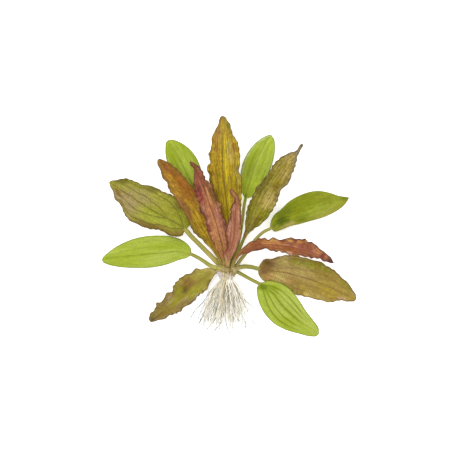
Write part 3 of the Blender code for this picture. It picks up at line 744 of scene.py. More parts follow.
SHADE_WIDTH = 3.2  # how much wider than a nerve its soft shade is
NERVE_FADE = 0.3  # share of the blade over which a nerve fades out
CROSS_WANDER = 3.0  # how far a cross vein strays, in mm
CROSS_LINE = (0.35, 1.0)  # where in each wave a cross vein begins and is darkest
LONG_WANDER = 2.2  # how far the nerves side by side stray, in radians
LONG_LINE = (0.2, 1.0)
FIBRE_SHARE = 0.62  # how much of the brightness the fibres give, and how much the clouds
CLOUD_SHARE = 0.38
SWING = (0.38, 0.62)  # between which values of the two it changes
PATCH_EDGE = (1.4, 0.4)  # where a patch ends and is in full, over its size
PATCH_RAGGED = 2.2  # how far its outline wanders
MARGIN_DEPTHS = (0.35, 1.3)  # the least depth of a margin, and what its clouds add
MARGIN_CORE = 0.15  # share of its depth where it is in full
MARGIN_END = 0.05  # how softly it ends along the leaf
SIDE_TURN = 8.0  # how fast a margin leaves the other half
NET_SCALE = 0.85
NET_LINE = (0.12, 0.02)


def effect(name, *outputs):
    """Makes a node group out of the function below it, which is then called to place the group.

    The function's arguments name the group's inputs and the given names its outputs. Each is a
    number, but a vector where it is called flat or point.
    """

    def label(word):
        return word.replace("_", " ").title()

    def build(work):
        inputs = list(inspect.signature(work).parameters)
        group = bpy.data.node_groups.new(name, "ShaderNodeTree")
        for side, words in (("INPUT", inputs), ("OUTPUT", outputs)):
            for word in words:
                kind = "NodeSocketVector" if word in ("flat", "point") else "NodeSocketFloat"
                group.interface.new_socket(label(word), in_out=side, socket_type=kind)
        given = group.nodes.new("NodeGroupInput").outputs
        found = work(*(Reading(given[label(word)]) for word in inputs))
        result = group.nodes.new("NodeGroupOutput").inputs
        for word, value in zip(outputs, found if isinstance(found, tuple) else (found,)):
            feed(result[label(word)], value)

        def place(tree, **values):
            node = tree.nodes.new("ShaderNodeGroup")
            node.node_tree = group
            for word, value in values.items():
                feed(node.inputs[label(word)], value)
            return SimpleNamespace(**{word: Reading(node.outputs[label(word)]) for word in outputs})

        return place

    return build


@effect(
    "place on the leaf",
    "across", "along", "under", "across_mm", "along_mm", "half_width", "flat", "crest",
)
def leaf_place(seed):
    """Where a point is on its leaf, from the leaf's attributes."""
    tree = seed.tree
    across, along, under = parts(put(tree, "ShaderNodeAttribute", gives="Vector", attribute_name="leaf"))
    size = put(tree, "ShaderNodeAttribute", gives="Vector", attribute_name="leaf_mm")
    across_mm, along_mm, half_width = parts(size)
    flat = point_at(across_mm, along_mm, seed + under)
    crest = put(tree, "ShaderNodeAttribute", gives="Fac", attribute_name="leaf_crest")
    return across, along, under, across_mm, along_mm, half_width, flat, crest


@effect("pair of side nerves", "line", "shade")
def side_nerves(across, along, half_width, target, start, reach, width, end):
    """A pair of side nerves, by the same law as nerve_place: the fine line and its soft shade."""
    gone = reckon("MAXIMUM", along - start, 0.0)
    left_over = reckon("EXPONENT", gone * -NERVE_TURN / reach)
    apart = (abs(across) - target * (1.0 - left_over)) * half_width
    fade = between(along, end, end - NERVE_FADE)
    return bell(apart, width) * fade, bell(apart, width * SHADE_WIDTH) * fade


@effect("cross veins", "line")
def cross_veins(across_mm, along_mm, flat, step):
    """Fine cross veins between the nerves, slanted towards the tip and not quite straight."""
    place = along_mm + abs(across_mm) * -CROSS_SLANT + noise(flat, 0.22) * CROSS_WANDER
    lines = between(reckon("SINE", place / step * WHOLE_TURN), *CROSS_LINE)
    return lines * clouds(flat, 0.35, 0.36, 0.6)


@effect("side by side nerves", "line")
def long_nerves(across, flat, count):
    """Thin nerves that run side by side from the base and draw together at the tip."""
    turns = across * count * math.pi + noise(flat, 0.09) * LONG_WANDER
    return between(reckon("SINE", turns), *LONG_LINE) * clouds(drawn_out(flat, BROKEN), 1.0, 0.36, 0.58)


@effect("streaks", "mask")
def streaks(flat, size, stretch, seed):
    """Cloudy streaks along the leaf."""
    x, y, z = parts(flat)
    drawn = point_at(x / size, y / size / stretch, z + seed)
    return clouds(drawn, 0.5, 0.36, 0.66, detail=3.0)


@effect("fibres", "value")
def fibres(flat, strength):
    """How bright each spot is: fine fibres along the leaf and small clouds between them, round 1."""
    both = noise(drawn_out(flat, FIBRES), 1.0, 3.0, 0.6) * FIBRE_SHARE + noise(flat, 0.42) * CLOUD_SHARE
    swing = between(both, *SWING) - 0.5
    return 1.0 + swing * 2.0 * strength


@effect("patch", "mask")
def soft_patch(across, along, uneven, middle_across, middle_along, size_across, size_along):
    """A soft patch with a streaky outline, placed by shares of the leaf's width and length."""
    aside = (across - middle_across) / size_across
    ahead = (along - middle_along) / size_along
    distance = reckon("SQRT", aside * aside + ahead * ahead)
    return between(distance + (uneven - 0.5) * PATCH_RAGGED, *PATCH_EDGE)


@effect("margin", "mask")
def margin(across, along, half_width, flat, side, start, end, reach):
    """A band of uneven depth along an edge. Side is 1 for the left, -1 for the right, 0 for both."""
    least, more = MARGIN_DEPTHS
    depth = reach * (least + noise(flat, 0.2, 3.0) * more)
    band = between((1.0 - abs(across)) * half_width, depth, depth * MARGIN_CORE)
    on_side = between(1.0 + across * side * SIDE_TURN, 0.0, 1.0)
    begun = between(along - start, -MARGIN_END, MARGIN_END)
    return band * on_side * begun * between(along - end, MARGIN_END, -MARGIN_END)


@effect("fine net", "line", "grain")
def fine_net(flat):
    """The finest veins, a net of small meshes, and the grain between them."""
    inputs = {"Vector": flat, "Scale": NET_SCALE}
    apart = put(flat.tree, "ShaderNodeTexVoronoi", inputs, "Distance", feature="DISTANCE_TO_EDGE")
    return between(apart, *NET_LINE), noise(flat, 2.2, 3.0, 0.6)


@effect("mottle", "cloud", "grain")
def mottle(point, scale):
    """Two sizes of cloudiness in any piece, for uneven colour and gloss."""
    return clouds(point, scale, 0.35, 0.65, detail=3.0), noise(point, scale * 6.0, 3.0, 0.6)




# ---------------------------------------------------------------- leaves: colours

SPRING_GREEN = tone(171, 187, 67)
PALE_GREEN = tone(188, 200, 94)
LIME_GREEN = tone(180, 198, 74)
# a light green made brighter with painted light, to lift the shade on a leaf that lies beneath others
LIGHT_GREEN = tone(206, 226, 76)
GRASS_GREEN = tone(155, 172, 42)
MOSS_GREEN = tone(142, 148, 26)
FOREST_GREEN = tone(108, 120, 24)
# painted shade: the dark green of the shade in a leaf's fold
BOTTLE_GREEN = tone(80, 90, 24)
NERVE_GREEN = tone(118, 134, 30)
FERN_GREEN = tone(152, 148, 40)
LEAF_GOLD = tone(172, 160, 56)
MAUVE_PALE = tone(188, 170, 144)
LIGHT_RIM = tone(206, 216, 150)
OLIVE = tone(161, 160, 58)
DARK_OLIVE = tone(112, 106, 44)
KHAKI = tone(170, 160, 78)
SAND = tone(167, 144, 66)
STRAW = tone(196, 174, 102)
GOLD = tone(204, 180, 44)
DEEP_GOLD = tone(178, 152, 38)
MUSTARD = tone(160, 140, 28)
OCHRE = tone(174, 136, 46)
AMBER = tone(158, 114, 42)
CINNAMON = tone(148, 100, 42)
CORAL = tone(204, 144, 94)
ROSE = tone(196, 132, 104)
SALMON = tone(180, 118, 84)
BRICK = tone(156, 96, 66)
CLAY = tone(184, 126, 96)
APRICOT = tone(204, 152, 76)
RUST = tone(148, 92, 30)
WINE = tone(140, 80, 62)
MAROON = tone(138, 66, 58)
PLUM = tone(102, 58, 52)
HEATHER = tone(184, 122, 118)
BLUSH = tone(222, 184, 152)
BRONZE = tone(146, 136, 40)
UMBER = tone(110, 86, 40)
DRY_BROWN = tone(136, 110, 62)
COCOA = tone(134, 98, 62)
ROSY_TAN = tone(178, 150, 98)
MAUVE_BROWN = tone(138, 112, 78)
MAUVE_TAN = tone(166, 146, 104)
SOOT = tone(88, 78, 62)
STALK_GREEN = tone(152, 150, 64)
STALK_PALE = tone(180, 176, 98)
# a pale stalk green made brighter with painted light, to lift the shade on a stalk beneath other leaves
STALK_BRIGHT = tone(234, 236, 140)
SHEATH_CREAM = tone(184, 168, 100)
SHEATH_BROWN = tone(176, 148, 94)
SHEATH_TAN = tone(170, 154, 92)
SHEATH_LIME = tone(214, 204, 104)
SHEATH_PINK = tone(214, 190, 150)
SHEATH_ROSE = tone(186, 128, 92)
PALE_UNDERSIDE = tone(190, 186, 128)

CREAMY = ((0.0, SHEATH_BROWN), (0.12, SHEATH_BROWN), (0.3, SHEATH_CREAM))
STALK = (*CREAMY, (0.5, STALK_GREEN), (1.0, STALK_GREEN))


def finish(
    tones, right=(), streaks=(), patches=(), margins=(), fibres=0.2, crest=(), rim=(NERVE_GREEN, 0.7),
    vein=NERVE_GREEN, vein_depth=(0.6, 0.4, 0.15), pairs=((0.4, 0.0, 0.3), (0.75, 0.0, 0.25)),
    nerves_end=1.0, aside=0.0, stripes=(), ladder=(2.2, 0.15), stalk=STALK, stalk_sides=0.6,
    clasp=(4.5, 0.0), flare=0.0, arch=0.7, nerve_depth=0.1, pucker=0.03, frill=0.0, frills=14.0,
    scallop=0.0,
):
    """How one leaf looks. Places across run from 1 at the left edge to -1 at the right one.

    Colours: tones and right hold (along, tone) from the base to the tip, on the left and the right
    half. streaks holds (tone, strength, size in mm, stretch), patches (across, along, size across,
    size along, tone, strength), margins (side, from, to, reach in mm, tone, strength), crest (tone
    of the painted highlight, tone of the painted shade, strength), laid on the folds of an edge by
    how high they stand, and rim (tone, strength). fibres is how much the brightness varies.

    Nerves: vein is their tone, and vein_depth the strength of the midrib, of the side nerves and of
    their soft shade. pairs holds the side nerves' (target, start, reach), nerves_end where they
    have faded, and aside how far the midrib lies beside the middle. stripes holds (tone, count,
    strength) and ladder, for the cross veins, (step in mm, strength).

    Stalk: stalk holds (along, tone), and stalk_sides how dark its sides are, partly their own darker
    edges and partly painted shade where a stalk turns away and meets its neighbours. clasp holds how
    far the sheath runs down the rootstock in mm and which share of the way round to its front, and
    flare how much wider it is than the stalk.

    Shape, in mm: arch is how high the blade's halves stand, nerve_depth and pucker how deep the
    nerves and how high the skin between the cross veins, and frill and scallop how far the edge
    moves up and outwards in its folds, of which there are frills.
    """
    return SimpleNamespace(**locals())


FINISHES = {
    "leaf_green_left": finish(
        (
            (0.0, GRASS_GREEN), (0.08, SPRING_GREEN), (0.3, PALE_GREEN), (0.6, SPRING_GREEN),
            (1.0, GRASS_GREEN),
        ),
        right=((0.0, SPRING_GREEN), (0.5, SPRING_GREEN), (0.85, SPRING_GREEN), (1.0, GRASS_GREEN)),
        streaks=((PALE_GREEN, 0.6, 3.0, 9.0), (GRASS_GREEN, 0.45, 2.2, 12.0)),
        fibres=0.1, vein_depth=(0.65, 0.22, 0.12), rim=(NERVE_GREEN, 0.8),
        stalk=(
            (0.0, SHEATH_TAN), (0.1, SHEATH_CREAM), (0.2, SHEATH_LIME), (0.32, SHEATH_LIME),
            (0.5, STALK_GREEN), (1.0, STALK_GREEN),
        ),
        clasp=(2.2, 0.75), flare=0.7, aside=0.04,
    ),
    "leaf_olive_left": finish(
        (
            (0.0, FOREST_GREEN), (0.08, MOSS_GREEN), (0.25, OLIVE), (0.5, OLIVE), (0.6, KHAKI),
            (0.8, SAND), (1.0, OLIVE),
        ),
        right=(
            (0.0, MOSS_GREEN), (0.1, MOSS_GREEN), (0.4, OLIVE), (0.55, KHAKI), (0.85, KHAKI),
            (1.0, OLIVE),
        ),
        streaks=((KHAKI, 0.5, 3.5, 4.0), (MOSS_GREEN, 0.4, 4.0, 4.0)),
        patches=(
            (0.35, 0.72, 0.5, 0.14, MAUVE_TAN, 0.9), (0.3, 0.35, 0.3, 0.2, SPRING_GREEN, 0.35),
            (0.4, 0.85, 0.25, 0.06, COCOA, 0.9), (0.85, 0.84, 0.25, 0.06, MAUVE_PALE, 0.8),
            (-0.85, 0.27, 0.25, 0.06, UMBER, 0.6), (-0.78, 0.86, 0.3, 0.06, DARK_OLIVE, 0.95),
            (-0.88, 0.56, 0.25, 0.06, DARK_OLIVE, 0.95), (0.85, 0.42, 0.2, 0.1, DARK_OLIVE, 0.9),
            (-0.6, 0.45, 0.3, 0.12, OLIVE, 0.6), (0.1, 0.62, 0.9, 0.1, MAUVE_TAN, 0.35),
            (-0.3, 0.62, 0.3, 0.2, MAUVE_TAN, 0.4),
        ),
        margins=(
            (1, 0.02, 0.5, 9.0, COCOA, 0.7), (1, 0.02, 0.6, 3.0, UMBER, 0.9),
            (1, 0.5, 0.9, 4.0, MAUVE_BROWN, 0.7), (-1, 0.05, 0.95, 3.0, DARK_OLIVE, 0.7),
        ),
        vein=DARK_OLIVE, vein_depth=(1.0, 1.0, 0.2),
        pairs=((0.5, 0.22, 0.6), (0.8, 0.0, 0.45)),
        nerves_end=1.05, ladder=(1.8, 0.65), rim=(UMBER, 0.85),
        stalk=((0.0, SHEATH_CREAM), (0.4, STRAW), (0.6, KHAKI), (1.0, KHAKI)),
        clasp=(3.4, 0.6), flare=0.6, arch=0.6, nerve_depth=0.16, pucker=0.06, frill=0.45, frills=13.0,
        scallop=0.3,
    ),
    "leaf_amber_left": finish(
        (
            (0.0, SAND), (0.15, DEEP_GOLD), (0.35, OCHRE), (0.5, OCHRE), (0.7, OCHRE), (0.85, AMBER),
            (1.0, DRY_BROWN),
        ),
        right=(
            (0.0, SAND), (0.25, DEEP_GOLD), (0.5, OCHRE), (0.6, RUST), (0.88, RUST), (1.0, DRY_BROWN),
        ),
        streaks=((OCHRE, 0.3, 2.0, 5.0), (CINNAMON, 0.5, 1.4, 6.0), (RUST, 0.4, 2.2, 4.0)),
        fibres=0.42,
        patches=(
            # the cream patch at the base is painted light that lifts the shade there; the gold one is the
            # base's own colour
            (0.0, 0.06, 2.0, 0.2, LEAF_GOLD, 1.0), (0.1, 0.06, 0.8, 0.12, SHEATH_CREAM, 0.6),
            (0.3, 0.24, 0.4, 0.1, LEAF_GOLD, 0.7), (0.6, 0.03, 0.4, 0.08, STRAW, 0.9),
            (0.0, 0.35, 0.4, 0.25, GOLD, 0.7), (0.35, 0.74, 0.4, 0.14, OCHRE, 0.9),
            (0.65, 0.7, 0.2, 0.08, OCHRE, 0.7), (0.45, 0.34, 0.3, 0.07, MUSTARD, 0.7),
            (0.8, 0.3, 0.2, 0.05, PLUM, 0.5), (0.85, 0.55, 0.25, 0.14, UMBER, 0.4),
            (-0.4, 0.16, 0.3, 0.05, OCHRE, 0.8), (-0.55, 0.22, 0.3, 0.12, SAND, 0.8),
            (-0.5, 0.5, 0.3, 0.15, OCHRE, 0.7), (-0.4, 0.68, 0.35, 0.14, RUST, 0.9),
            (0.0, 0.88, 0.4, 0.05, BRICK, 0.6), (-0.75, 0.85, 0.25, 0.12, DARK_OLIVE, 0.5),
        ),
        margins=(
            (1, 0.18, 0.42, 6.0, DARK_OLIVE, 0.8), (1, 0.42, 0.62, 12.0, COCOA, 1.0),
            (-1, 0.3, 1.0, 2.4, WINE, 0.7), (1, 0.6, 1.0, 4.0, DRY_BROWN, 0.9),
        ),
        vein=CINNAMON, vein_depth=(0.8, 0.6, 0.2), aside=-0.12, stripes=(UMBER, 5.0, 0.45),
        ladder=(2.0, 0.5), rim=(UMBER, 0.9),
        stalk=((0.0, SHEATH_BROWN), (0.4, KHAKI), (0.7, SAND), (1.0, SAND)),
        flare=-0.3, frill=0.6, frills=13.0, scallop=0.4,
    ),
    "leaf_green_back_left": finish(
        ((0.0, GRASS_GREEN), (0.3, LIME_GREEN), (0.6, SPRING_GREEN), (1.0, GRASS_GREEN)),
        streaks=((PALE_GREEN, 0.5, 3.0, 9.0), (GRASS_GREEN, 0.5, 2.2, 12.0)),
        fibres=0.1,
        patches=((0.35, 0.78, 0.25, 0.2, GRASS_GREEN, 0.8), (-0.2, 0.55, 0.5, 0.15, LIME_GREEN, 0.8)),
        vein_depth=(0.7, 0.3, 0.12), rim=(NERVE_GREEN, 0.85), aside=-0.08,
    ),
    "leaf_red_centre": finish(
        (
            (0.0, CORAL), (0.12, APRICOT), (0.3, CORAL), (0.5, SALMON), (0.65, BRICK), (0.85, WINE),
            (1.0, UMBER),
        ),
        right=(
            (0.0, ROSE), (0.3, ROSE), (0.5, ROSE), (0.6, AMBER), (0.78, WINE), (0.9, BRICK),
            (1.0, UMBER),
        ),
        streaks=((CORAL, 0.5, 1.8, 8.0), (WINE, 0.5, 1.8, 7.0)),
        fibres=0.28,
        patches=(
            (0.0, 0.0, 2.0, 0.05, SHEATH_BROWN, 1.0), (0.15, 0.25, 0.35, 0.2, CORAL, 0.9),
            (-0.35, 0.19, 0.3, 0.1, CORAL, 0.8), (0.0, 0.15, 0.2, 0.06, APRICOT, 0.9),
            (-0.4, 0.83, 0.5, 0.08, WINE, 0.6), (-0.8, 0.26, 0.2, 0.04, MAROON, 0.6),
            (0.2, 0.94, 1.5, 0.06, UMBER, 0.6), (0.8, 0.38, 0.22, 0.09, MAROON, 0.8),
            # the small BLUSH spots among the dark folds of the left edge are painted highlights
            (0.72, 0.41, 0.12, 0.025, BLUSH, 0.35), (0.85, 0.5, 0.2, 0.05, PLUM, 0.8),
            (0.7, 0.54, 0.14, 0.035, BLUSH, 0.35), (0.7, 0.66, 0.35, 0.09, MAROON, 1.0),
            (0.3, 0.85, 0.4, 0.08, WINE, 0.7), (0.5, 0.72, 0.3, 0.04, PLUM, 0.6),
            (-0.3, 0.42, 0.35, 0.09, ROSE, 0.9), (-0.6, 0.63, 0.4, 0.13, UMBER, 0.85),
            (-0.12, 0.62, 0.2, 0.09, CORAL, 0.8), (-0.9, 0.24, 0.2, 0.14, PLUM, 0.9),
            (-0.85, 0.85, 0.3, 0.1, WINE, 0.7), (0.1, 0.8, 0.5, 0.06, BRICK, 0.6),
            (-0.8, 0.45, 0.15, 0.08, UMBER, 0.6), (0.2, 0.45, 0.15, 0.3, CORAL, 0.4),
        ),
        margins=((1, 0.2, 0.85, 2.0, PLUM, 0.8), (-1, 0.25, 1.0, 2.0, WINE, 0.9)),
        vein=PLUM, vein_depth=(0.8, 0.35, 0.1), aside=0.1, crest=(ROSE, PLUM, 0.5), rim=(PLUM, 0.9),
        stalk=((0.0, SHEATH_BROWN), (0.35, SHEATH_ROSE), (1.0, SHEATH_ROSE)),
        stalk_sides=0.25, flare=-0.5, frill=1.1, frills=15.0, scallop=0.55,
    ),
    "leaf_gold_tall": finish(
        (
            (0.0, GOLD), (0.38, GOLD), (0.5, MUSTARD), (0.6, MUSTARD), (0.7, DEEP_GOLD),
            (0.9, ROSY_TAN), (1.0, SAND),
        ),
        right=((0.0, DEEP_GOLD), (0.4, DEEP_GOLD), (0.52, MUSTARD), (0.65, DEEP_GOLD), (1.0, KHAKI)),
        streaks=((GOLD, 0.4, 1.6, 14.0), (AMBER, 0.5, 1.2, 14.0)),
        fibres=0.26,
        patches=(
            (0.0, 0.36, 0.3, 0.1, GOLD, 1.0), (0.8, 0.97, 0.6, 0.05, DRY_BROWN, 0.8),
            (-0.05, 0.72, 0.3, 0.2, GOLD, 0.8), (-0.4, 0.74, 0.25, 0.08, STRAW, 0.5),
            (0.75, 0.62, 0.2, 0.05, OCHRE, 0.7), (0.72, 0.78, 0.2, 0.06, CINNAMON, 0.7),
            (0.6, 0.88, 0.3, 0.06, CINNAMON, 0.6), (-0.7, 0.77, 0.16, 0.03, CINNAMON, 0.6),
            (-0.7, 0.92, 0.3, 0.03, FOREST_GREEN, 0.7), (0.5, 0.95, 0.3, 0.03, BRICK, 0.6),
            (-0.8, 0.6, 0.2, 0.1, KHAKI, 0.7), (0.2, 0.93, 0.4, 0.04, GOLD, 0.5),
        ),
        margins=(
            (1, 0.4, 0.6, 4.0, UMBER, 0.8), (1, 0.6, 1.0, 2.4, DRY_BROWN, 0.8),
            (-1, 0.4, 1.0, 2.0, SAND, 0.8),
        ),
        vein=UMBER, vein_depth=(1.0, 0.4, 0.1), aside=0.12, stripes=(UMBER, 12.0, 0.6),
        ladder=(2.0, 0.1), crest=(GOLD, AMBER, 0.55), rim=(UMBER, 0.9),
        stalk=((0.0, SHEATH_BROWN), (0.6, SHEATH_BROWN), (1.0, SAND)),
        frill=0.9, frills=19.0, scallop=0.35,
    ),
    "leaf_red_small": finish(
        ((0.0, CLAY), (0.2, SALMON), (0.45, CLAY), (0.75, CLAY), (0.85, AMBER), (1.0, CINNAMON)),
        right=((0.0, SALMON), (0.3, CLAY), (0.7, ROSE), (0.85, AMBER), (1.0, CINNAMON)),
        streaks=((BLUSH, 0.4, 1.2, 9.0), (BRICK, 0.7, 1.1, 12.0)),
        fibres=0.28,
        patches=(
            (0.0, 0.0, 2.0, 0.08, SHEATH_BROWN, 1.0), (0.7, 0.17, 0.35, 0.07, WINE, 0.6),
            (0.85, 0.25, 0.25, 0.04, SALMON, 0.6), (0.4, 0.62, 0.35, 0.08, WINE, 0.5),
            (-0.85, 0.46, 0.25, 0.06, SAND, 0.7), (-0.85, 0.85, 0.25, 0.06, SAND, 0.5),
            (-0.9, 0.42, 0.2, 0.08, KHAKI, 0.8), (0.3, 0.8, 0.35, 0.04, ROSE, 0.8),
            (0.9, 0.5, 0.2, 0.04, BLUSH, 0.6),
        ),
        margins=((1, 0.1, 1.0, 1.8, WINE, 0.9), (-1, 0.1, 0.9, 1.0, DRY_BROWN, 0.8)),
        vein=WINE, vein_depth=(0.8, 0.5, 0.2), crest=(ROSE, PLUM, 0.4), rim=(PLUM, 0.9),
        stalk=((0.0, SHEATH_BROWN), (0.35, SHEATH_ROSE), (1.0, SHEATH_ROSE)),
        stalk_sides=0.25, flare=-0.5, frill=0.6, frills=10.0, scallop=0.35,
    ),
    # This leaf's base and stalk lie in the shade of the leaves above: the brightest greens there are its
    # own light green with painted light on it, lifting that shade.
    "leaf_green_back_right": finish(
        (
            (0.0, LIME_GREEN), (0.06, LIGHT_GREEN), (0.25, LIGHT_GREEN), (0.4, LIME_GREEN),
            (0.6, SPRING_GREEN), (1.0, LIME_GREEN),
        ),
        right=((0.0, LIGHT_GREEN), (0.3, LIGHT_GREEN), (0.45, LIME_GREEN), (1.0, LIME_GREEN)),
        streaks=((PALE_GREEN, 0.6, 2.4, 12.0), (GRASS_GREEN, 0.5, 2.0, 12.0)),
        fibres=0.12,
        patches=(
            (0.0, 0.12, 1.6, 0.16, LIGHT_GREEN, 1.0), (0.35, 0.5, 0.3, 0.22, GRASS_GREEN, 0.7),
            (0.1, 0.02, 0.4, 0.03, FOREST_GREEN, 0.6), (0.85, 0.35, 0.25, 0.2, LIGHT_GREEN, 0.6),
            (-0.9, 0.36, 0.2, 0.07, NERVE_GREEN, 0.6),
        ),
        margins=((1, 0.25, 1.0, 3.0, LIGHT_RIM, 0.9), (-1, 0.3, 1.0, 1.4, LIGHT_RIM, 0.5)),
        vein_depth=(0.5, 0.25, 0.12), rim=(NERVE_GREEN, 0.85),
        stalk=(*CREAMY, (0.4, STALK_BRIGHT), (0.85, STALK_BRIGHT), (1.0, LIGHT_GREEN)),
        stalk_sides=0.1,
    ),
    "leaf_bronze_right": finish(
        (
            (0.0, KHAKI), (0.1, LEAF_GOLD), (0.2, FERN_GREEN), (0.35, FERN_GREEN), (0.5, OLIVE),
            (0.6, BRONZE), (0.7, KHAKI), (0.85, STRAW), (0.92, MAUVE_PALE), (1.0, MAUVE_TAN),
        ),
        right=(
            (0.0, KHAKI), (0.12, LEAF_GOLD), (0.32, FERN_GREEN), (0.4, KHAKI), (0.52, BRONZE),
            (0.7, SAND), (0.85, STRAW), (0.92, MAUVE_PALE), (1.0, MAUVE_TAN),
        ),
        streaks=((KHAKI, 0.35, 2.0, 8.0), (FERN_GREEN, 0.6, 2.4, 7.0), (UMBER, 0.25, 1.2, 12.0)),
        fibres=0.34,
        patches=(
            (0.0, 0.03, 1.5, 0.1, STRAW, 0.9), (-0.05, 0.1, 0.5, 0.12, KHAKI, 0.9),
            (-0.85, 0.87, 0.3, 0.07, MAUVE_PALE, 0.8), (0.85, 0.85, 0.3, 0.05, MAUVE_PALE, 0.6),
            (0.9, 0.04, 0.3, 0.1, DARK_OLIVE, 0.7), (0.0, 1.0, 2.0, 0.03, SOOT, 0.9),
            (-0.7, 0.26, 0.3, 0.14, MOSS_GREEN, 0.8), (-0.45, 0.42, 0.35, 0.09, STRAW, 0.85),
            (-0.5, 0.55, 0.35, 0.04, UMBER, 0.5), (-0.5, 0.68, 0.4, 0.06, STRAW, 0.6),
            (0.5, 0.5, 0.4, 0.12, DARK_OLIVE, 0.75), (-0.5, 0.22, 0.25, 0.04, UMBER, 0.6),
            (0.1, 0.4, 0.25, 0.2, KHAKI, 0.6), (0.0, 0.82, 0.5, 0.05, STRAW, 0.6),
            (0.8, 0.89, 0.3, 0.06, MAUVE_TAN, 0.9), (-0.8, 0.85, 0.3, 0.08, MAUVE_TAN, 0.95),
            (0.4, 1.0, 1.2, 0.05, SOOT, 0.7), (0.2, 0.7, 0.2, 0.05, KHAKI, 0.6),
            (0.5, 0.25, 0.3, 0.06, MOSS_GREEN, 0.8),
        ),
        margins=(
            (-1, 0.38, 0.9, 4.0, MAUVE_TAN, 0.85), (1, 0.2, 0.6, 6.0, DARK_OLIVE, 0.8),
            (1, 0.6, 0.85, 2.0, UMBER, 0.6),
        ),
        vein=UMBER, vein_depth=(0.45, 0.6, 0.12), stripes=(UMBER, 9.0, 0.25), ladder=(1.8, 0.35),
        crest=(STRAW, UMBER, 0.45), rim=(SOOT, 0.8), frill=0.7, frills=15.0, scallop=0.4,
    ),
    "leaf_green_right": finish(
        (
            (0.0, OLIVE), (0.12, MOSS_GREEN), (0.3, MOSS_GREEN), (0.55, MOSS_GREEN), (0.85, OLIVE),
            (1.0, DARK_OLIVE),
        ),
        right=(
            (0.0, KHAKI), (0.15, OLIVE), (0.4, MOSS_GREEN), (0.6, OLIVE), (0.9, OLIVE),
            (1.0, DARK_OLIVE),
        ),
        streaks=((OLIVE, 0.4, 2.6, 5.0), (NERVE_GREEN, 0.4, 2.0, 7.0)),
        fibres=0.13,
        patches=(
            # the dark green patches near the base, across the fold where the blade bends down, are painted
            # shade of that fold
            (0.0, 0.17, 0.65, 0.08, FOREST_GREEN, 0.95), (-0.05, 0.16, 0.45, 0.055, BOTTLE_GREEN, 0.95),
            (0.55, 0.25, 0.4, 0.12, FOREST_GREEN, 0.8), (-0.6, 0.38, 0.35, 0.07, FOREST_GREEN, 0.7),
            (-0.1, 0.05, 0.2, 0.05, FOREST_GREEN, 0.7), (-0.75, 0.22, 0.25, 0.09, STRAW, 0.8),
            (-0.4, 0.2, 0.25, 0.07, BOTTLE_GREEN, 0.5), (-0.7, 0.65, 0.35, 0.18, KHAKI, 0.6),
            (-0.3, 0.6, 0.5, 0.2, SPRING_GREEN, 0.4), (0.1, 0.88, 0.5, 0.07, SPRING_GREEN, 0.4),
        ),
        margins=((-1, 0.1, 0.9, 2.4, KHAKI, 0.7), (1, 0.25, 0.9, 2.0, OLIVE, 0.8)),
        vein_depth=(0.4, 0.25, 0.1), stripes=(FOREST_GREEN, 9.0, 0.22), ladder=(1.8, 0.22),
        rim=(NERVE_GREEN, 0.6),
        stalk=(*CREAMY, (0.8, STALK_PALE), (1.0, STALK_PALE)),
        arch=0.9, nerve_depth=0.08, pucker=0.05,
    ),
    "leaf_red_arching": finish(
        (
            (0.0, DRY_BROWN), (0.12, SAND), (0.25, CINNAMON), (0.38, APRICOT), (0.5, AMBER),
            (0.6, SALMON), (0.72, BRICK), (0.9, SALMON), (1.0, SOOT),
        ),
        right=(
            (0.0, DRY_BROWN), (0.16, DRY_BROWN), (0.3, CINNAMON), (0.5, AMBER), (0.6, BRICK),
            (0.75, BRICK), (0.92, ROSE), (1.0, SOOT),
        ),
        streaks=((CORAL, 0.6, 1.6, 2.0), (RUST, 0.55, 1.5, 2.5), (MAROON, 0.4, 1.3, 2.0)),
        fibres=0.36,
        patches=(
            (0.45, 0.38, 0.3, 0.06, APRICOT, 0.7), (0.0, 0.9, 0.5, 0.08, CLAY, 0.7),
            (0.0, 0.63, 0.4, 0.07, CLAY, 0.6), (0.1, 0.03, 0.8, 0.08, KHAKI, 0.5),
            (0.75, 0.41, 0.2, 0.03, STRAW, 0.7), (0.65, 0.55, 0.2, 0.022, APRICOT, 0.9),
            (0.7, 0.63, 0.22, 0.025, APRICOT, 0.9), (0.75, 0.48, 0.3, 0.03, PLUM, 0.9),
            (0.8, 0.58, 0.25, 0.02, PLUM, 0.8), (0.3, 0.64, 0.35, 0.03, MAROON, 0.6),
            (0.1, 0.76, 0.25, 0.04, HEATHER, 0.5), (0.35, 0.53, 0.2, 0.03, HEATHER, 0.5),
            (-0.2, 0.5, 0.2, 0.2, RUST, 0.6), (-0.8, 0.46, 0.25, 0.03, BLUSH, 1.0),
            (-0.8, 0.55, 0.3, 0.03, BLUSH, 1.0), (0.5, 0.73, 0.4, 0.04, BRICK, 0.9),
            (0.3, 0.81, 0.35, 0.05, CORAL, 0.9), (0.1, 0.86, 0.5, 0.03, MAROON, 0.9),
            (-0.7, 0.9, 0.3, 0.05, HEATHER, 0.9), (-0.9, 0.64, 0.2, 0.05, KHAKI, 0.8),
            (0.1, 0.42, 0.4, 0.1, CORAL, 0.5), (-0.85, 0.25, 0.25, 0.12, PLUM, 0.8),
            (0.0, 1.0, 2.0, 0.08, SOOT, 1.0), (0.0, 0.03, 1.5, 0.1, SAND, 0.7),
        ),
        margins=(
            (1, 0.12, 0.42, 2.0, PLUM, 0.9), (1, 0.42, 1.0, 3.0, PLUM, 0.95),
            (-1, 0.1, 0.45, 3.4, PLUM, 0.95), (-1, 0.68, 1.0, 3.4, PLUM, 0.9),
        ),
        vein=WINE, vein_depth=(0.9, 0.6, 0.25), ladder=(1.8, 0.3), crest=(STRAW, PLUM, 0.5),
        rim=(PLUM, 0.95),
        stalk=((0.0, SHEATH_BROWN), (0.5, SHEATH_BROWN), (0.8, DRY_BROWN), (1.0, DRY_BROWN)),
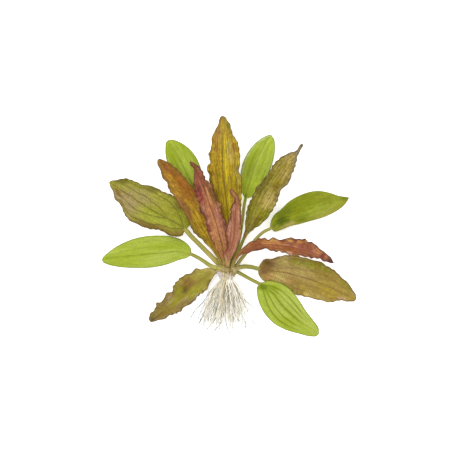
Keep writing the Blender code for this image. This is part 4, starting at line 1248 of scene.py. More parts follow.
        flare=-0.25, frill=1.3, frills=12.0, scallop=0.6,
    ),
    "leaf_tan_right": finish(
        (
            (0.0, COCOA), (0.1, COCOA), (0.2, ROSY_TAN), (0.45, ROSY_TAN), (0.6, SAND), (0.9, SAND),
            (1.0, DEEP_GOLD),
        ),
        right=((0.0, COCOA), (0.07, ROSY_TAN), (0.2, STRAW), (0.38, SAND), (1.0, SAND)),
        streaks=((STRAW, 0.35, 4.0, 3.0), (DRY_BROWN, 0.35, 3.0, 5.0), (MUSTARD, 0.3, 5.0, 3.0)),
        patches=(
            (-0.2, 0.22, 0.5, 0.11, STRAW, 1.0), (0.62, 0.3, 0.2, 0.1, GRASS_GREEN, 0.7),
            (0.72, 0.47, 0.18, 0.08, GRASS_GREEN, 0.5), (0.85, 0.95, 0.3, 0.05, MAUVE_PALE, 0.8),
            (0.85, 0.26, 0.2, 0.05, MAUVE_PALE, 0.5), (-0.85, 0.65, 0.25, 0.06, STRAW, 0.6),
            (0.4, 0.15, 0.25, 0.05, ROSY_TAN, 0.5), (-0.8, 0.34, 0.25, 0.07, OLIVE, 0.5),
            (0.7, 0.33, 0.18, 0.1, MOSS_GREEN, 0.8), (0.9, 0.55, 0.2, 0.14, MOSS_GREEN, 0.8),
            (0.4, 0.4, 0.3, 0.12, STRAW, 0.7), (0.6, 0.1, 0.3, 0.05, UMBER, 0.9),
            (0.2, 0.1, 0.35, 0.05, COCOA, 0.7), (0.5, 0.28, 0.3, 0.06, ROSY_TAN, 0.7),
            (0.75, 0.25, 0.22, 0.05, STRAW, 1.0), (-0.45, 0.13, 0.35, 0.05, CORAL, 0.5),
            (-0.3, 0.33, 0.3, 0.04, SALMON, 0.3), (-0.8, 0.55, 0.25, 0.06, STRAW, 0.8),
            (-0.7, 0.86, 0.35, 0.06, BLUSH, 0.6), (-0.6, 0.4, 0.3, 0.06, DRY_BROWN, 0.5),
            (-0.1, 0.06, 0.5, 0.05, COCOA, 0.9), (0.85, 0.85, 0.3, 0.1, MOSS_GREEN, 0.5),
            (-0.2, 0.75, 0.4, 0.12, DEEP_GOLD, 0.5),
        ),
        margins=(
            (-1, 0.42, 1.0, 2.0, DRY_BROWN, 0.6), (1, 0.6, 1.0, 2.0, UMBER, 0.6),
            (1, 0.02, 0.2, 3.0, MAUVE_BROWN, 0.8),
        ),
        vein=DRY_BROWN, vein_depth=(1.0, 0.45, 0.12),
        pairs=((0.45, 0.1, 0.6), (0.8, 0.0, 0.4)),
        nerves_end=1.05, aside=0.14, ladder=(2.0, 0.75), crest=(STRAW, AMBER, 0.3), rim=(UMBER, 0.8),
        stalk=(
            (0.0, SHEATH_TAN), (0.12, SHEATH_PINK), (0.34, SHEATH_PINK), (0.5, KHAKI),
            (0.7, STALK_GREEN), (1.0, STALK_GREEN),
        ),
        clasp=(2.2, 0.75), flare=0.7, arch=0.6, nerve_depth=0.14, pucker=0.06, frill=0.5, frills=13.0,
        scallop=0.3,
    ),
    "leaf_green_lower_right": finish(
        (
            (0.0, FOREST_GREEN), (0.1, GRASS_GREEN), (0.25, SPRING_GREEN), (0.4, PALE_GREEN),
            (1.0, PALE_GREEN),
        ),
        right=(
            (0.0, FOREST_GREEN), (0.1, SPRING_GREEN), (0.4, SPRING_GREEN), (0.8, SPRING_GREEN),
            (1.0, PALE_GREEN),
        ),
        streaks=((PALE_GREEN, 0.7, 3.0, 7.0), (GRASS_GREEN, 0.3, 3.0, 9.0)),
        fibres=0.1,
        patches=(
            (0.45, 0.19, 0.25, 0.07, GRASS_GREEN, 0.95), (-0.25, 0.4, 0.2, 0.2, PALE_GREEN, 0.7),
            (-0.45, 0.58, 0.12, 0.08, GRASS_GREEN, 0.8), (-0.2, 0.07, 0.25, 0.05, FOREST_GREEN, 0.8),
            (0.85, 0.7, 0.25, 0.25, PALE_GREEN, 0.8),
        ),
        vein_depth=(1.0, 1.0, 0.32),
        pairs=((0.38, 0.0, 0.45), (0.67, 0.0, 0.35)),
        nerves_end=0.86, aside=-0.04, rim=(NERVE_GREEN, 0.75), clasp=(1.8, 0.7), flare=0.6, arch=1.1,
        nerve_depth=0.2, pucker=0.02,
    ),
    "leaf_bronze_lower_left": finish(
        (
            (0.0, STRAW), (0.12, KHAKI), (0.25, OLIVE), (0.4, OLIVE), (0.5, MAUVE_TAN), (0.7, COCOA),
            (1.0, DRY_BROWN),
        ),
        right=(
            (0.0, STRAW), (0.18, KHAKI), (0.3, SAND), (0.5, BRONZE), (0.6, SAND), (0.75, DRY_BROWN),
            (1.0, SOOT),
        ),
        streaks=((KHAKI, 0.4, 2.6, 5.0), (DRY_BROWN, 0.45, 2.6, 5.0)),
        fibres=0.22,
        patches=(
            (-0.35, 0.39, 0.3, 0.06, UMBER, 0.9), (-0.25, 0.42, 0.14, 0.03, SOOT, 0.7),
            (-0.5, 0.32, 0.3, 0.06, COCOA, 0.95), (0.8, 0.13, 0.3, 0.05, DRY_BROWN, 0.6),
            (0.85, 0.38, 0.3, 0.13, MAUVE_PALE, 0.6), (-0.4, 0.67, 0.25, 0.05, DRY_BROWN, 0.5),
            (0.85, 0.26, 0.25, 0.07, STRAW, 0.9), (0.85, 0.03, 0.3, 0.05, STRAW, 0.9),
            (0.4, 0.3, 0.35, 0.09, OLIVE, 0.7), (0.85, 0.46, 0.3, 0.06, MAUVE_TAN, 1.0),
            (0.5, 0.56, 0.4, 0.1, MAUVE_BROWN, 0.9), (0.8, 0.65, 0.3, 0.06, MAUVE_TAN, 0.8),
            (-0.4, 0.66, 0.25, 0.07, MAUVE_BROWN, 0.9), (-0.8, 0.65, 0.3, 0.14, MAUVE_BROWN, 1.0),
            (-0.5, 0.62, 0.25, 0.06, MAUVE_TAN, 0.8), (0.2, 0.82, 0.5, 0.08, COCOA, 0.9),
            (-0.2, 0.6, 0.3, 0.1, OLIVE, 0.5), (-0.5, 0.12, 0.3, 0.06, KHAKI, 0.8),
            (0.0, 1.0, 2.0, 0.09, SOOT, 0.9), (-0.5, 0.47, 0.2, 0.05, MOSS_GREEN, 0.6),
        ),
        margins=((-1, 0.15, 1.0, 3.0, MAUVE_BROWN, 0.85), (1, 0.38, 1.0, 5.0, MAUVE_BROWN, 0.85)),
        vein=BRONZE, vein_depth=(0.9, 0.5, 0.2), aside=-0.12, ladder=(1.9, 0.3),
        crest=(MAUVE_TAN, UMBER, 0.5), rim=(UMBER, 0.85),
        stalk=((0.0, SHEATH_TAN), (0.4, STRAW), (1.0, STRAW)),
        stalk_sides=0.0, clasp=(-1.2, 0.7), frill=0.8, frills=12.0, scallop=0.45,
    ),
}


# ---------------------------------------------------------------- materials

LEAF_GLOSS = 0.12
LEAF_RELIEF = 0.16
HALVES_MEET = 0.25  # how far each half's colour reaches over the middle
MIDRIB_WIDTH = 0.55
SIDE_NERVE_WIDTH = 0.4
FAINTEST_NERVE = 0.45  # the strength of a nerve where it is faint
FOLD_LIGHT = (0.05, 0.6)  # how high a fold of the edge begins to take its painted highlight, and takes it in full; as deep in a trough, its painted shade
NET_STRENGTH = 0.2
RIM_WIDTH = 0.75  # the least width of a rim in mm, and what it gains where the nerves are clear
RIM_CORE = 0.15  # share of its width where it is in full
RIM_PLACES = (-0.05, 0.25)  # where along the leaf it begins and is in full
STALK_ENDS = (0.035, -0.005)  # where along the leaf the blade's colour ends and the stalk's is in full
STALK_STREAKS = ((0.7, 14.0, 3.0, DARK_OLIVE), (0.22, 40.0, 5.0, STALK_PALE))  # size, stretch, seed, tone
STREAK_STRENGTH = 0.4
STALK_MIDDLE = (0.35, 0.35)  # width and strength of the pale middle of a stalk
STALK_SIDES = (0.6, 1.0)  # where across a stalk its dark sides, partly painted shade, begin and are in full
UNDERSIDE = 0.8  # how far the underside takes its paler tone
PALER = 0.35

ROOT_PALE = (0.9, 0.89, 0.83, 1.0)
ROOT_END = (0.55, 0.54, 0.5, 1.0)
PALE_PLACES = (-0.068, -0.086)  # places along Y in metres, from nothing to in full
END_PLACES = (-0.088, -0.102)

STEM_PLACES = (-0.0395, -0.0535)  # from the rootstock's top to its lower end, along Y in metres
STEM_TONES = (
    (0.0, tone(166, 148, 90)), (0.4, tone(186, 168, 114)), (0.62, tone(218, 202, 166)),
    (0.8, tone(238, 226, 216)), (1.0, tone(230, 216, 186)),
)
STEM_STRAY = 0.002  # how far its tones wander, in metres
LILAC_ACROSS = (-0.006, -0.010)  # where the lilac begins and is in full, across and down the rootstock
LILAC_DOWN = (-0.044, -0.047)
SPOTS_UP = (-0.0500, -0.0430)
STEM_LILAC = tone(238, 226, 240)
STEM_CREASE = tone(124, 98, 60)
STEM_SPOT = tone(104, 82, 54)
STEM_PATCHES = (  # place and size across and along it in metres, tone, strength
    ((-0.0034, -0.0496), (0.0026, 0.0022), tone(198, 182, 128), 0.9),
    ((0.0006, -0.0450), (0.0010, 0.0040), tone(112, 84, 48), 0.9),
    ((0.0020, -0.0436), (0.0026, 0.0012), tone(128, 100, 58), 0.8),
    ((-0.0060, -0.0452), (0.0040, 0.0007), tone(124, 102, 56), 0.7),
)
CREASES = (620.0, 120.0, 620.0)  # dark lines down the rootstock, thin across and long along it

TABLE_WHITE = (0.95, 0.95, 0.95, 1.0)
TABLE_GREY = (0.93, 0.93, 0.93, 1.0)
TABLE_GLOW = 0.42


def new_material(name, gloss):
    """A new material, its nodes, and its surface shader with its share of gloss."""
    material = bpy.data.materials.new(name)
    material.use_nodes = True
    surface = material.node_tree.nodes["Principled BSDF"]
    surface.inputs["Specular IOR Level"].default_value = gloss
    return material, material.node_tree, surface


def finish_surface(surface, colour, rough, height, depth):
    """Feeds a surface its colour, its uneven roughness and its fine relief, depth in mm."""
    inputs = {"Height": height, "Strength": 1.0, "Distance": depth * MM}
    feed(surface.inputs["Base Color"], colour)
    feed(surface.inputs["Roughness"], rough)
    feed(surface.inputs["Normal"], put(height.tree, "ShaderNodeBump", inputs))


def paint_ground(tree, look, at):
    """The colour of a blade without its nerves: halves, streaks, patches, margins, painted highlight and
    shade on folds.
    """
    colour = tone_ramp(at.along, look.tones)
    if look.right:
        on_right = between(at.across, HALVES_MEET, -HALVES_MEET)
        colour = blend(on_right, colour, tone_ramp(at.along, look.right))
    for number, (paint, strength, size, stretch) in enumerate(look.streaks):
        streak = streaks(tree, flat=at.flat, size=size, stretch=stretch, seed=7.0 * number)
        colour = blend(streak.mask * strength, colour, paint)
    uneven = noise(drawn_out(at.flat, BLOTCHES), 1.0, 3.0, 0.6)
    for middle_across, middle_along, wide, long, paint, strength in look.patches:
        patch = soft_patch(
            tree, across=at.across, along=at.along, uneven=uneven, middle_across=middle_across,
            middle_along=middle_along, size_across=wide, size_along=long,
        )
        colour = blend(patch.mask * strength, colour, paint)
    for side, start, end, reach, paint, strength in look.margins:
        band = margin(
            tree, across=at.across, along=at.along, half_width=at.half_width, flat=at.flat,
            side=side, start=start, end=end, reach=reach,
        )
        colour = blend(band.mask * strength, colour, paint)
    # painted highlight on the crests of the edge's folds and painted shade in their troughs, by how high
    # each stands
    if look.crest:
        light, dark, strength = look.crest
        begins, full = FOLD_LIGHT
        colour = blend(between(at.crest, begins, full) * strength, colour, light)
        colour = blend(between(at.crest, -begins, -full) * strength, colour, dark)
    brightness = fibres(tree, flat=at.flat, strength=look.fibres).value
    return put(tree, "ShaderNodeHueSaturation", {"Color": colour, "Value": brightness}, "Color")


def paint_nerves(tree, look, at, colour):
    """A blade's colour with its nerves and its rim, and the masks of the nerves and cross veins."""
    sideways = between(at.along, 0.0, ASIDE_SHARE) * between(at.along, 1.0, 1.0 - ASIDE_SHARE)
    from_rib = at.across - sideways * look.aside
    midrib_strength, side_strength, shade_strength = look.vein_depth
    nerve_kinds = [((0.0, 0.0, 1.0), MIDRIB_WIDTH, midrib_strength)]
    nerve_kinds += [(pair, SIDE_NERVE_WIDTH, side_strength) for pair in look.pairs]
    line = shade = None
    for (target, start, reach), width, strength in nerve_kinds:
        nerve = side_nerves(
            tree, across=from_rib, along=at.along, half_width=at.half_width, target=target,
            start=start, reach=reach, width=width, end=look.nerves_end,
        )
        mask = nerve.line * strength
        line = reckon("MAXIMUM", line, mask) if line else mask
        shade = reckon("MAXIMUM", shade, nerve.shade) if shade else nerve.shade
    clear = clouds(at.flat, 0.12, 0.3, 0.55)
    line = line * (FAINTEST_NERVE + clear * (1.0 - FAINTEST_NERVE))
    colour = blend(shade * shade_strength, colour, look.vein)
    if look.stripes:
        paint, count, strength = look.stripes
        stripe = long_nerves(tree, across=at.across, flat=at.flat, count=count).line
        colour = blend(stripe * strength, colour, paint)
    step, strength = look.ladder
    ladder = cross_veins(tree, across_mm=at.across_mm, along_mm=at.along_mm, flat=at.flat, step=step).line
    colour = blend(ladder * strength, colour, look.vein)
    colour = blend(line, colour, look.vein)
    paint, strength = look.rim
    rim_width = (RIM_WIDTH + clear * RIM_WIDTH) * between(at.along, *RIM_PLACES)
    on_rim = between((1.0 - abs(at.across)) * at.half_width, rim_width, rim_width * RIM_CORE)
    return blend(on_rim * strength, colour, paint), line, ladder


def paint_stalk(tree, plan, at):
    """The colour of a stalk: streaked along its length, lighter in its groove, darker at its sides with
    painted shade.
    """
    look = plan.look
    share = 1.0 + at.along_mm / stalk_length(plan)
    colour = tone_ramp(share, look.stalk)
    for size, stretch, seed, paint in STALK_STREAKS:
        streak = streaks(tree, flat=at.flat, size=size, stretch=stretch, seed=seed)
        colour = blend(streak.mask * STREAK_STRENGTH, colour, paint)
    width, strength = STALK_MIDDLE
    colour = blend(bell(at.across, width) * strength, colour, STALK_PALE)
    # darker sides: partly the stalk's own darker edges, partly painted shade where it turns away and meets
    # its neighbours
    return blend(between(abs(at.across), *STALK_SIDES) * look.stalk_sides, colour, DARK_OLIVE)


def leaf_material(plan):
    """The finish of one leaf, from its sheath at the rootstock to its tip."""
    look = plan.look
    material, tree, surface = new_material(plan.name.replace("leaf", "finish"), LEAF_GLOSS)
    at = leaf_place(tree, seed=17.0 * plan.number)
    colour, line, ladder = paint_nerves(tree, look, at, paint_ground(tree, look, at))
    net = fine_net(tree, flat=at.flat)
    on_stalk = between(at.along, *STALK_ENDS)
    meshes = net.line * (1.0 - on_stalk)
    colour = blend(meshes * NET_STRENGTH, colour, look.vein)
    colour = blend(on_stalk, colour, paint_stalk(tree, plan, at))
    colour = blend(at.under * UNDERSIDE, colour, blend(PALER, colour, PALE_UNDERSIDE))
    relief = net.grain * 0.5 - line * 0.9 - ladder * 0.5 - meshes * 0.35
    finish_surface(surface, colour, 0.42 + net.grain * 0.2, relief, LEAF_RELIEF)
    return material


def root_material(name, pale, dark, end_share):
    """A root's skin: pale, with darker stretches and a duller end."""
    material, tree, surface = new_material(name, 0.3)
    point = put(tree, "ShaderNodeTexCoord", gives="Object")
    uneven = mottle(tree, point=point, scale=160.0)
    _, y, _ = parts(point)
    colour = blend(uneven.cloud * 0.7, (*pale, 1.0), (*dark, 1.0))
    colour = blend(between(y, *PALE_PLACES) * end_share, colour, ROOT_PALE)
    colour = blend(between(y, *END_PLACES) * end_share, colour, ROOT_END)
    finish_surface(surface, colour, 0.4 + uneven.grain * 0.25, uneven.grain, 0.1)
    return material


def stem_material():
    """The rootstock: brown and cream under the leaves, pale with a lilac tint at its collar."""
    material, tree, surface = new_material("rootstock_skin", 0.25)
    point = put(tree, "ShaderNodeTexCoord", gives="Object")
    x, y, _ = parts(point)
    uneven = mottle(tree, point=point, scale=260.0)
    stray = (uneven.cloud - 0.5) * STEM_STRAY
    down = y + stray
    colour = tone_ramp(between(down, *STEM_PLACES), STEM_TONES)
    lilac = between(x, *LILAC_ACROSS) * between(down, *LILAC_DOWN)
    colour = blend(lilac * 0.8, colour, STEM_LILAC)
    creases = clouds(drawn_out(point, CREASES), 1.0, 0.56, 0.66, detail=3.0)
    colour = blend(creases * 0.6, colour, STEM_CREASE)
    for (across, along), (wide, long), paint, strength in STEM_PATCHES:
        mask = bell(x + stray - across, wide) * bell(down - along, long)
        colour = blend(mask * strength, colour, paint)
    spots = between(mottle(tree, point=point, scale=420.0).cloud, 0.75, 1.0)
    colour = blend(spots * between(y, *SPOTS_UP) * 0.8, colour, STEM_SPOT)
    finish_surface(surface, colour, 0.45 + uneven.grain * 0.25, uneven.grain, 0.35)
    return material


def table_material():
    """A plain white light table, lit a little from within, so that no grey halo lies round the leaves."""
    material, tree, surface = new_material("pale_table", 0.2)
    uneven = mottle(tree, point=put(tree, "ShaderNodeTexCoord", gives="Object"), scale=12.0)
    surface.inputs["Emission Color"].default_value = (1.0, 1.0, 1.0, 1.0)
    surface.inputs["Emission Strength"].default_value = TABLE_GLOW
    colour = blend(uneven.grain * 0.3, TABLE_WHITE, TABLE_GREY)
    finish_surface(surface, colour, 0.6 + uneven.grain * 0.1, uneven.grain, 0.02)
    return material


# ---------------------------------------------------------------- rootstock and roots: sizes

CROWN_COLUMNS = 120
CROWN_ROWS = 70
RIB_DEPTH = 0.06  # shares of its radius
KNOB_DEPTH = 0.05
RIBS = 7
RIBS_BEGIN = (-41, -44)  # places along Y without ribs and with the full ones
RIBS_END = (-50, -45)
KNOBS_BEGIN = (-46, -49)

SCALES = 13  # sheath scales round the rootstock
SCALE_COLUMNS = 15
SCALE_ROWS = 12
SCALE_TOP = -40.8
SCALE_TOP_RADIUS = 8.0
SCALE_REACH = (7.5, 11.5)
SCALE_HALF_ANGLE = (0.42, 0.62)
SCALE_NARROWER = 0.25
SCALE_GAP = 0.35  # how far the scales stand off the rootstock
SCALE_LAYER = 0.1
SCALE_LIFT = 0.5  # how much further a free end stands off
SCALE_WALL = 0.16

SEED = 5  # for all that is drawn at random

# The bundle of main roots, as in the solids
ROOT_COUNT = 34
ROOT_RADIUS = 0.5
ROOT_TIP_RADIUS = 0.2
ROOT_BUNDLE = 4.9
ROOT_START_Y = -55.0  # just inside the rootstock's end
ROOT_REACH = 52.0
ROOT_SHORTEST = 0.56
ROOT_SIDE_SHORTER = 0.12
ROOT_SIDE_BACK = 0.05
ROOT_UNEVEN_STEP = 0.7549
ROOT_CLOSER_START = 1.3
ROOT_SPREAD = 6.9
ROOT_FLARE = 0.62
ROOT_DRIFT = 1.5
ROOT_SWAY = 0.9
ROOT_SWAY_TURNS = 7.0
ROOT_SWAY_CHANGE = 0.25
ROOT_REST_Z = 5.6
ROOT_DROP = 1.6
ROOT_FLATTEN = 0.12

MAIN_SWELL = (0.9, 1.5)  # the main roots' girth, between thinner and thicker ones
MAIN_TIP_SWELL = 1.3
MAIN_TIP_SIDE = 0.7  # how much thinner the ends are at the bundle's sides
ROOT_KINK = 0.42
ROOT_KINKS = ((17, 2, 1.0), (41, 5, 0.6))  # turns, shift from root to root, and share of the kink
ROOT_RIPPLE = 0.2  # how far a main root's end waves up and down
ROOT_RIPPLES = 15

THIN_ROOTS = 110  # in locks
LOW_ROOTS = 110  # evenly spread under them
COLLAR_ROOTS = 14  # from the collar's front, above the bundle
STRAY_ROOTS = 30  # which wander away from the others
SIDE_ROOTS = 480

# Radii at the start and at the end, or between which values the start's lies
THIN_TIP = 0.2
LOCK_THICK = (0.3, 0.56)
COLLAR_THICK = (0.26, 0.4)
LOW_RADII = (0.42, 0.18)
STRAY_RADII = (0.3, 0.22)
LONE_RADII = (0.46, 0.36)
MAIN_SIDE_RADII = (0.13, 0.05)
THIN_SIDE_RADII = (0.12, 0.05)

THIN_SIDE_SHORTER = 0.34
THIN_RIGHT_SHORTER = 0.08
LOCK_SHORTEST = 0.6
LOW_SHORTEST = 0.4
THIN_LENGTH_RANGE = 0.5
THIN_WAVES = ((0, 0.9, 4, 10), (0, 0.35, 16, 36), (2, 0.7, 5, 13))  # axis, size, fewest and most turns
THIN_LOWEST = 0.3
LOW_ACROSS = (-0.9, 0.9)  # where in the bundle the low roots begin, over its radius
LOW_HEIGHTS = (-0.7, 0.1)
SIDE_PLACES = (0.3, 0.97)  # between which shares of a root the side roots leave it
SIDE_LENGTHS = (2.5, 8.0)
SIDE_AWAY = (1.0, 0.6, 0.5)  # how far they turn away along X, Y and Z
SIDE_TURNS = (0.2, 0.6)
SIDE_BENDS = (0.1, 0.35)
SIDE_LOWEST = 0.15
LOCKS = (0, 3, 5, 8, 9, 12, 14, 17, 20, 22, 25, 27, 30, 33)  # the main roots that others keep to
LOCK_START = 0.34  # how far apart the thin roots of a lock begin
LOCK_SINK = 0.4  # how far they lie below its main root
OCHRE_SINK = -0.2
LOCK_DRIFT = 2.6  # how far a lock strays from its main root
LOCK_DRIFT_STEP = 2.4  # and how this changes from lock to lock
OCHRE_LOCKS = ((-1.9, 0.75), (0.2, 0.6))  # place across and reach of the ochre ones
COLLAR_Y = (-53.5, -49.5)
COLLAR_ACROSS = (-0.95, 0.95)
COLLAR_SINK = 0.15
COLLAR_SPREAD = 1.15
STRAY_LENGTHS = (0.95, 1.15)
STRAY_REACHES = (1.0, 10.0)
STRAY_LOWER = (0.0, 3.0)
STRAY_Z = 0.4
LONE_ROOTS = (  # roots that stand out alone, as (x, y) points seen from above
    ((-9, -56), (-15.1, -61.5), (-27, -77.7), (-33.8, -84.5), (-38.9, -93.8), (-40.6, -97.2)),
    ((-6, -72), (-11.7, -89.6), (-14.2, -94.7), (-19.3, -101.5), (-23.6, -104.9)),
    ((-2, -75), (-3.1, -96.4), (-1.4, -103.2), (1.1, -108.3)),
    ((4, -70), (10.5, -84.5), (14.7, -93), (16.9, -98.1), (15.6, -104.9)),
    ((7, -66), (14.7, -77.7), (20.7, -91.3), (26.6, -100.6)),
    ((6, -60), (19, -77.7), (25.8, -82.8)),
    ((-12, -66), (-24.4, -84.5), (-28.7, -94.7), (-29.6, -98)),
    ((-5, -80), (-8.4, -98), (-15.9, -106.6)),
    ((0, -78), (4.2, -96), (3.4, -103)),
)
LONE_HEIGHTS = ((-100.0, -85.0, -56.0), (0.5, 3.0, 9.0))  # places along Y and heights there

ROOT_SKINS = (  # name, pale and dark paint, and how far it changes towards the root's end
    ("white_root", (0.94, 0.92, 0.86), (0.8, 0.76, 0.66), 0.4),
    ("cream_root", (0.83, 0.77, 0.6), (0.7, 0.63, 0.44), 0.4),
    ("ochre_root", (0.66, 0.58, 0.38), (0.53, 0.46, 0.28), 0.4),
    ("grey_root", (0.62, 0.59, 0.49), (0.48, 0.45, 0.35), 0.4),
    ("stray_root", (0.4, 0.41, 0.4), (0.3, 0.31, 0.31), 0.0),
)
# The roots low in the bundle take darker skins than those on top: partly the inner roots' browner colour,
# partly painted shade of the bundle's depth.
# What shares of the roots have which of these skins
MAIN_SKINS = (  # from this height over the rootstock's middle
    (0.5, (0.8, 0.2, 0.0)), (-1.5, (0.3, 0.4, 0.3)), (-ROOT_BUNDLE, (0.0, 0.2, 0.8)),
)
LOCK_SKINS = (0.45, 0.25, 0.15, 0.15)
OCHRE_SKINS = (0.05, 0.15, 0.75, 0.05)
LOW_SKINS = (0.1, 0.35, 0.4, 0.15)
COLLAR_SKINS = (0.3, 0.25, 0.1, 0.35)
SIDE_SKINS = (0.2, 0.0, 0.0, 0.2, 0.6)
STRAY_SKIN = 4


# ---------------------------------------------------------------- roots: shape


def root_flow(across, height, length, shares):
    """Points down the bundle of roots from one place in it: all roots share one widening."""
    sideways = abs(across) / ROOT_BUNDLE
    share = shares**ROOT_CLOSER_START * length
    wide = 1 + (ROOT_SPREAD - 1) * share**ROOT_FLARE
    sway = ROOT_SWAY * share * np.sin(ROOT_SWAY_TURNS * share + ROOT_SWAY_CHANGE * across)
    sunk = ease(share * ROOT_DROP)
    return np.column_stack([
        CROWN_X + across * wide + sway + ROOT_DRIFT * share,
        ROOT_START_Y - share * (ROOT_REACH + 1) * (1 - ROOT_SIDE_BACK * sideways**2),
        CROWN_Z + (ROOT_REST_Z - CROWN_Z) * sunk + height * (1 - ROOT_FLATTEN * sunk),
    ])


def root_start(index):
    """Where in the bundle a main root begins: how far across, and how high."""
    reach = ROOT_BUNDLE * math.sqrt((index + 0.5) / ROOT_COUNT)
    turn = index * GOLDEN_ANGLE
    return reach * math.cos(turn), reach * math.sin(turn)


def main_root_line(index, points=40, longer=1.0):
    """The same line as the solid's root of this number, with finer waves."""
    across, height = root_start(index)
    uneven = (index * ROOT_UNEVEN_STEP) % 1.0
    length = ROOT_SHORTEST + (1 - ROOT_SHORTEST) * uneven
    length = length * (1 - ROOT_SIDE_SHORTER * abs(across) / ROOT_BUNDLE)
    shares = np.linspace(0.0, 1.0, points)
    line = root_flow(across, height, length * longer, shares)
    kinks = sum(size * np.sin(turns * shares + shift * index) for turns, shift, size in ROOT_KINKS)
    line[:, 0] += ROOT_KINK * ease(4 * shares) * kinks
    line[:, 2] += ROOT_RIPPLE * shares * np.sin(ROOT_RIPPLES * shares + index)
    return line


def thin_root_line(across, height, rng, shortest, points=30):
    """One of the thinner roots. They are longest in the middle and shortest on the right."""
    side = across / ROOT_BUNDLE
    length = 1.0 - THIN_SIDE_SHORTER * side**2 - THIN_RIGHT_SHORTER * max(side, 0.0)
    shares = np.linspace(0.0, 1.0, points)
    length *= rng.uniform(shortest, shortest + THIN_LENGTH_RANGE)
    line = root_flow(across, height, length, shares)
    for axis, size, fewest, most in THIN_WAVES:
        phase = rng.uniform(0, 6.3)
        turns = rng.uniform(fewest, most)
        wave = np.sin(turns * shares + phase) - math.sin(phase)
        line[:, axis] += size * rng.uniform(0.3, 1.0) * ease(2 * shares) * wave
    line[:, 2] = np.maximum(line[:, 2], THIN_LOWEST)
    return line


def stray_root_line(rng, points=22):
    """A thin root that wanders away from the others and ends on the table."""
    line = main_root_line(int(rng.integers(ROOT_COUNT)), points, rng.uniform(*STRAY_LENGTHS))
    shares = np.linspace(0.0, 1.0, points)
    aside = np.sign(line[-1, 0] - CROWN_X) * rng.uniform(*STRAY_REACHES)
    wave = rng.uniform(0.5, 1.5) * shares * np.sin(rng.uniform(6, 12) * shares)
    line[:, 0] += aside * shares**1.6 + wave
    line[:, 1] -= rng.uniform(*STRAY_LOWER) * shares
    line[:, 2] += (STRAY_Z - line[:, 2]) * ease(shares * 1.4)
    return line


def collar_root_line(across, rng):
    """A root that leaves the collar's front, above the bundle."""
    y = rng.uniform(*COLLAR_Y)
    radius = float(crown_radius(y))
    side = across / ROOT_BUNDLE * radius
    front = CROWN_Z + CROWN_FLATTEN * math.sqrt(radius**2 - side**2)
    height = math.sqrt(ROOT_BUNDLE**2 - across**2)
    line = thin_root_line(COLLAR_SPREAD * across, COLLAR_SPREAD * height, rng, LOW_SHORTEST)
    first = (CROWN_X + side, y, front - COLLAR_SINK)
    return smooth_line(np.vstack([first, line[3::3]]), np.linspace(0.0, 1.0, 40))


def lone_root_line(places, points=30):
    """A root along drawn places, which comes down on to the table."""
    found = smooth_line(places, np.linspace(0.0, 1.0, points))
    return np.column_stack([found, np.interp(found[:, 1], *LONE_HEIGHTS)])


def side_root_line(line, rng, points=6):
    """A fine root that leaves another and bends on its way."""
    at = int(rng.uniform(*SIDE_PLACES) * (len(line) - 1))
    forward = unit(line[at + 1] - line[at])
    aside = unit(rng.normal(size=3) * SIDE_AWAY)
    length = rng.uniform(*SIDE_LENGTHS)
    way = unit(forward + aside * rng.uniform(*SIDE_TURNS))
    share = np.linspace(0.0, 1.0, points)[:, None]
    bend = unit(rng.normal(size=3)) * rng.uniform(*SIDE_BENDS)
    found = line[at] + length * (way * share + bend * share**2)
    found[:, 2] = np.maximum(found[:, 2], SIDE_LOWEST)
    return found


def strand(line, thick, thin, skin):
    """A root's points, its radii, which taper evenly, and the place of its skin."""
    return line, np.linspace(thick, thin, len(line)), skin


def draw_skin(rng, shares):
    """The place of a skin, drawn at random with these shares."""
    return int(rng.choice(len(shares), p=shares))


def side_strands(lines, count, radii, rng):
    """Side roots, each on one of the lines drawn at random."""
    strands = []
    for _ in range(count):
        line = lines[int(rng.integers(len(lines)))]
        strands.append(strand(side_root_line(line, rng), *radii, draw_skin(rng, SIDE_SKINS)))
    return strands


def tube_mesh(name, strands, roundness, skins):
    """Round strands as one mesh, made from curves."""
    curve = bpy.data.curves.new(name, "CURVE")
    for skin in skins:
        curve.materials.append(skin)
    curve.dimensions = "3D"
    curve.bevel_depth = MM
    curve.bevel_resolution = roundness
    curve.use_fill_caps = True
    for points, radii, skin in strands:
        spline = curve.splines.new("POLY")
        spline.points.add(len(points) - 1)
        placed = (points - (0.0, MIDDLE_Y, 0.0)) * MM
        spline.points.foreach_set("co", np.column_stack([placed, np.ones(len(points))]).ravel())
        spline.points.foreach_set("radius", radii)
        spline.material_index = skin
        spline.use_smooth = True
    obj = bpy.data.objects.new(name, curve)
    bpy.context.collection.objects.link(obj)
    bpy.ops.object.select_all(action="DESELECT")
    bpy.context.view_layer.objects.active = obj
    obj.select_set(True)
    bpy.ops.object.convert(target="MESH")
    return bpy.context.object


def join(main, others):
    """Makes one piece of several, with the name of the main one."""
    bpy.ops.object.select_all(action="DESELECT")
    for obj in (*others, main):
        obj.select_set(True)
    bpy.context.view_layer.objects.active = main
    bpy.ops.object.join()


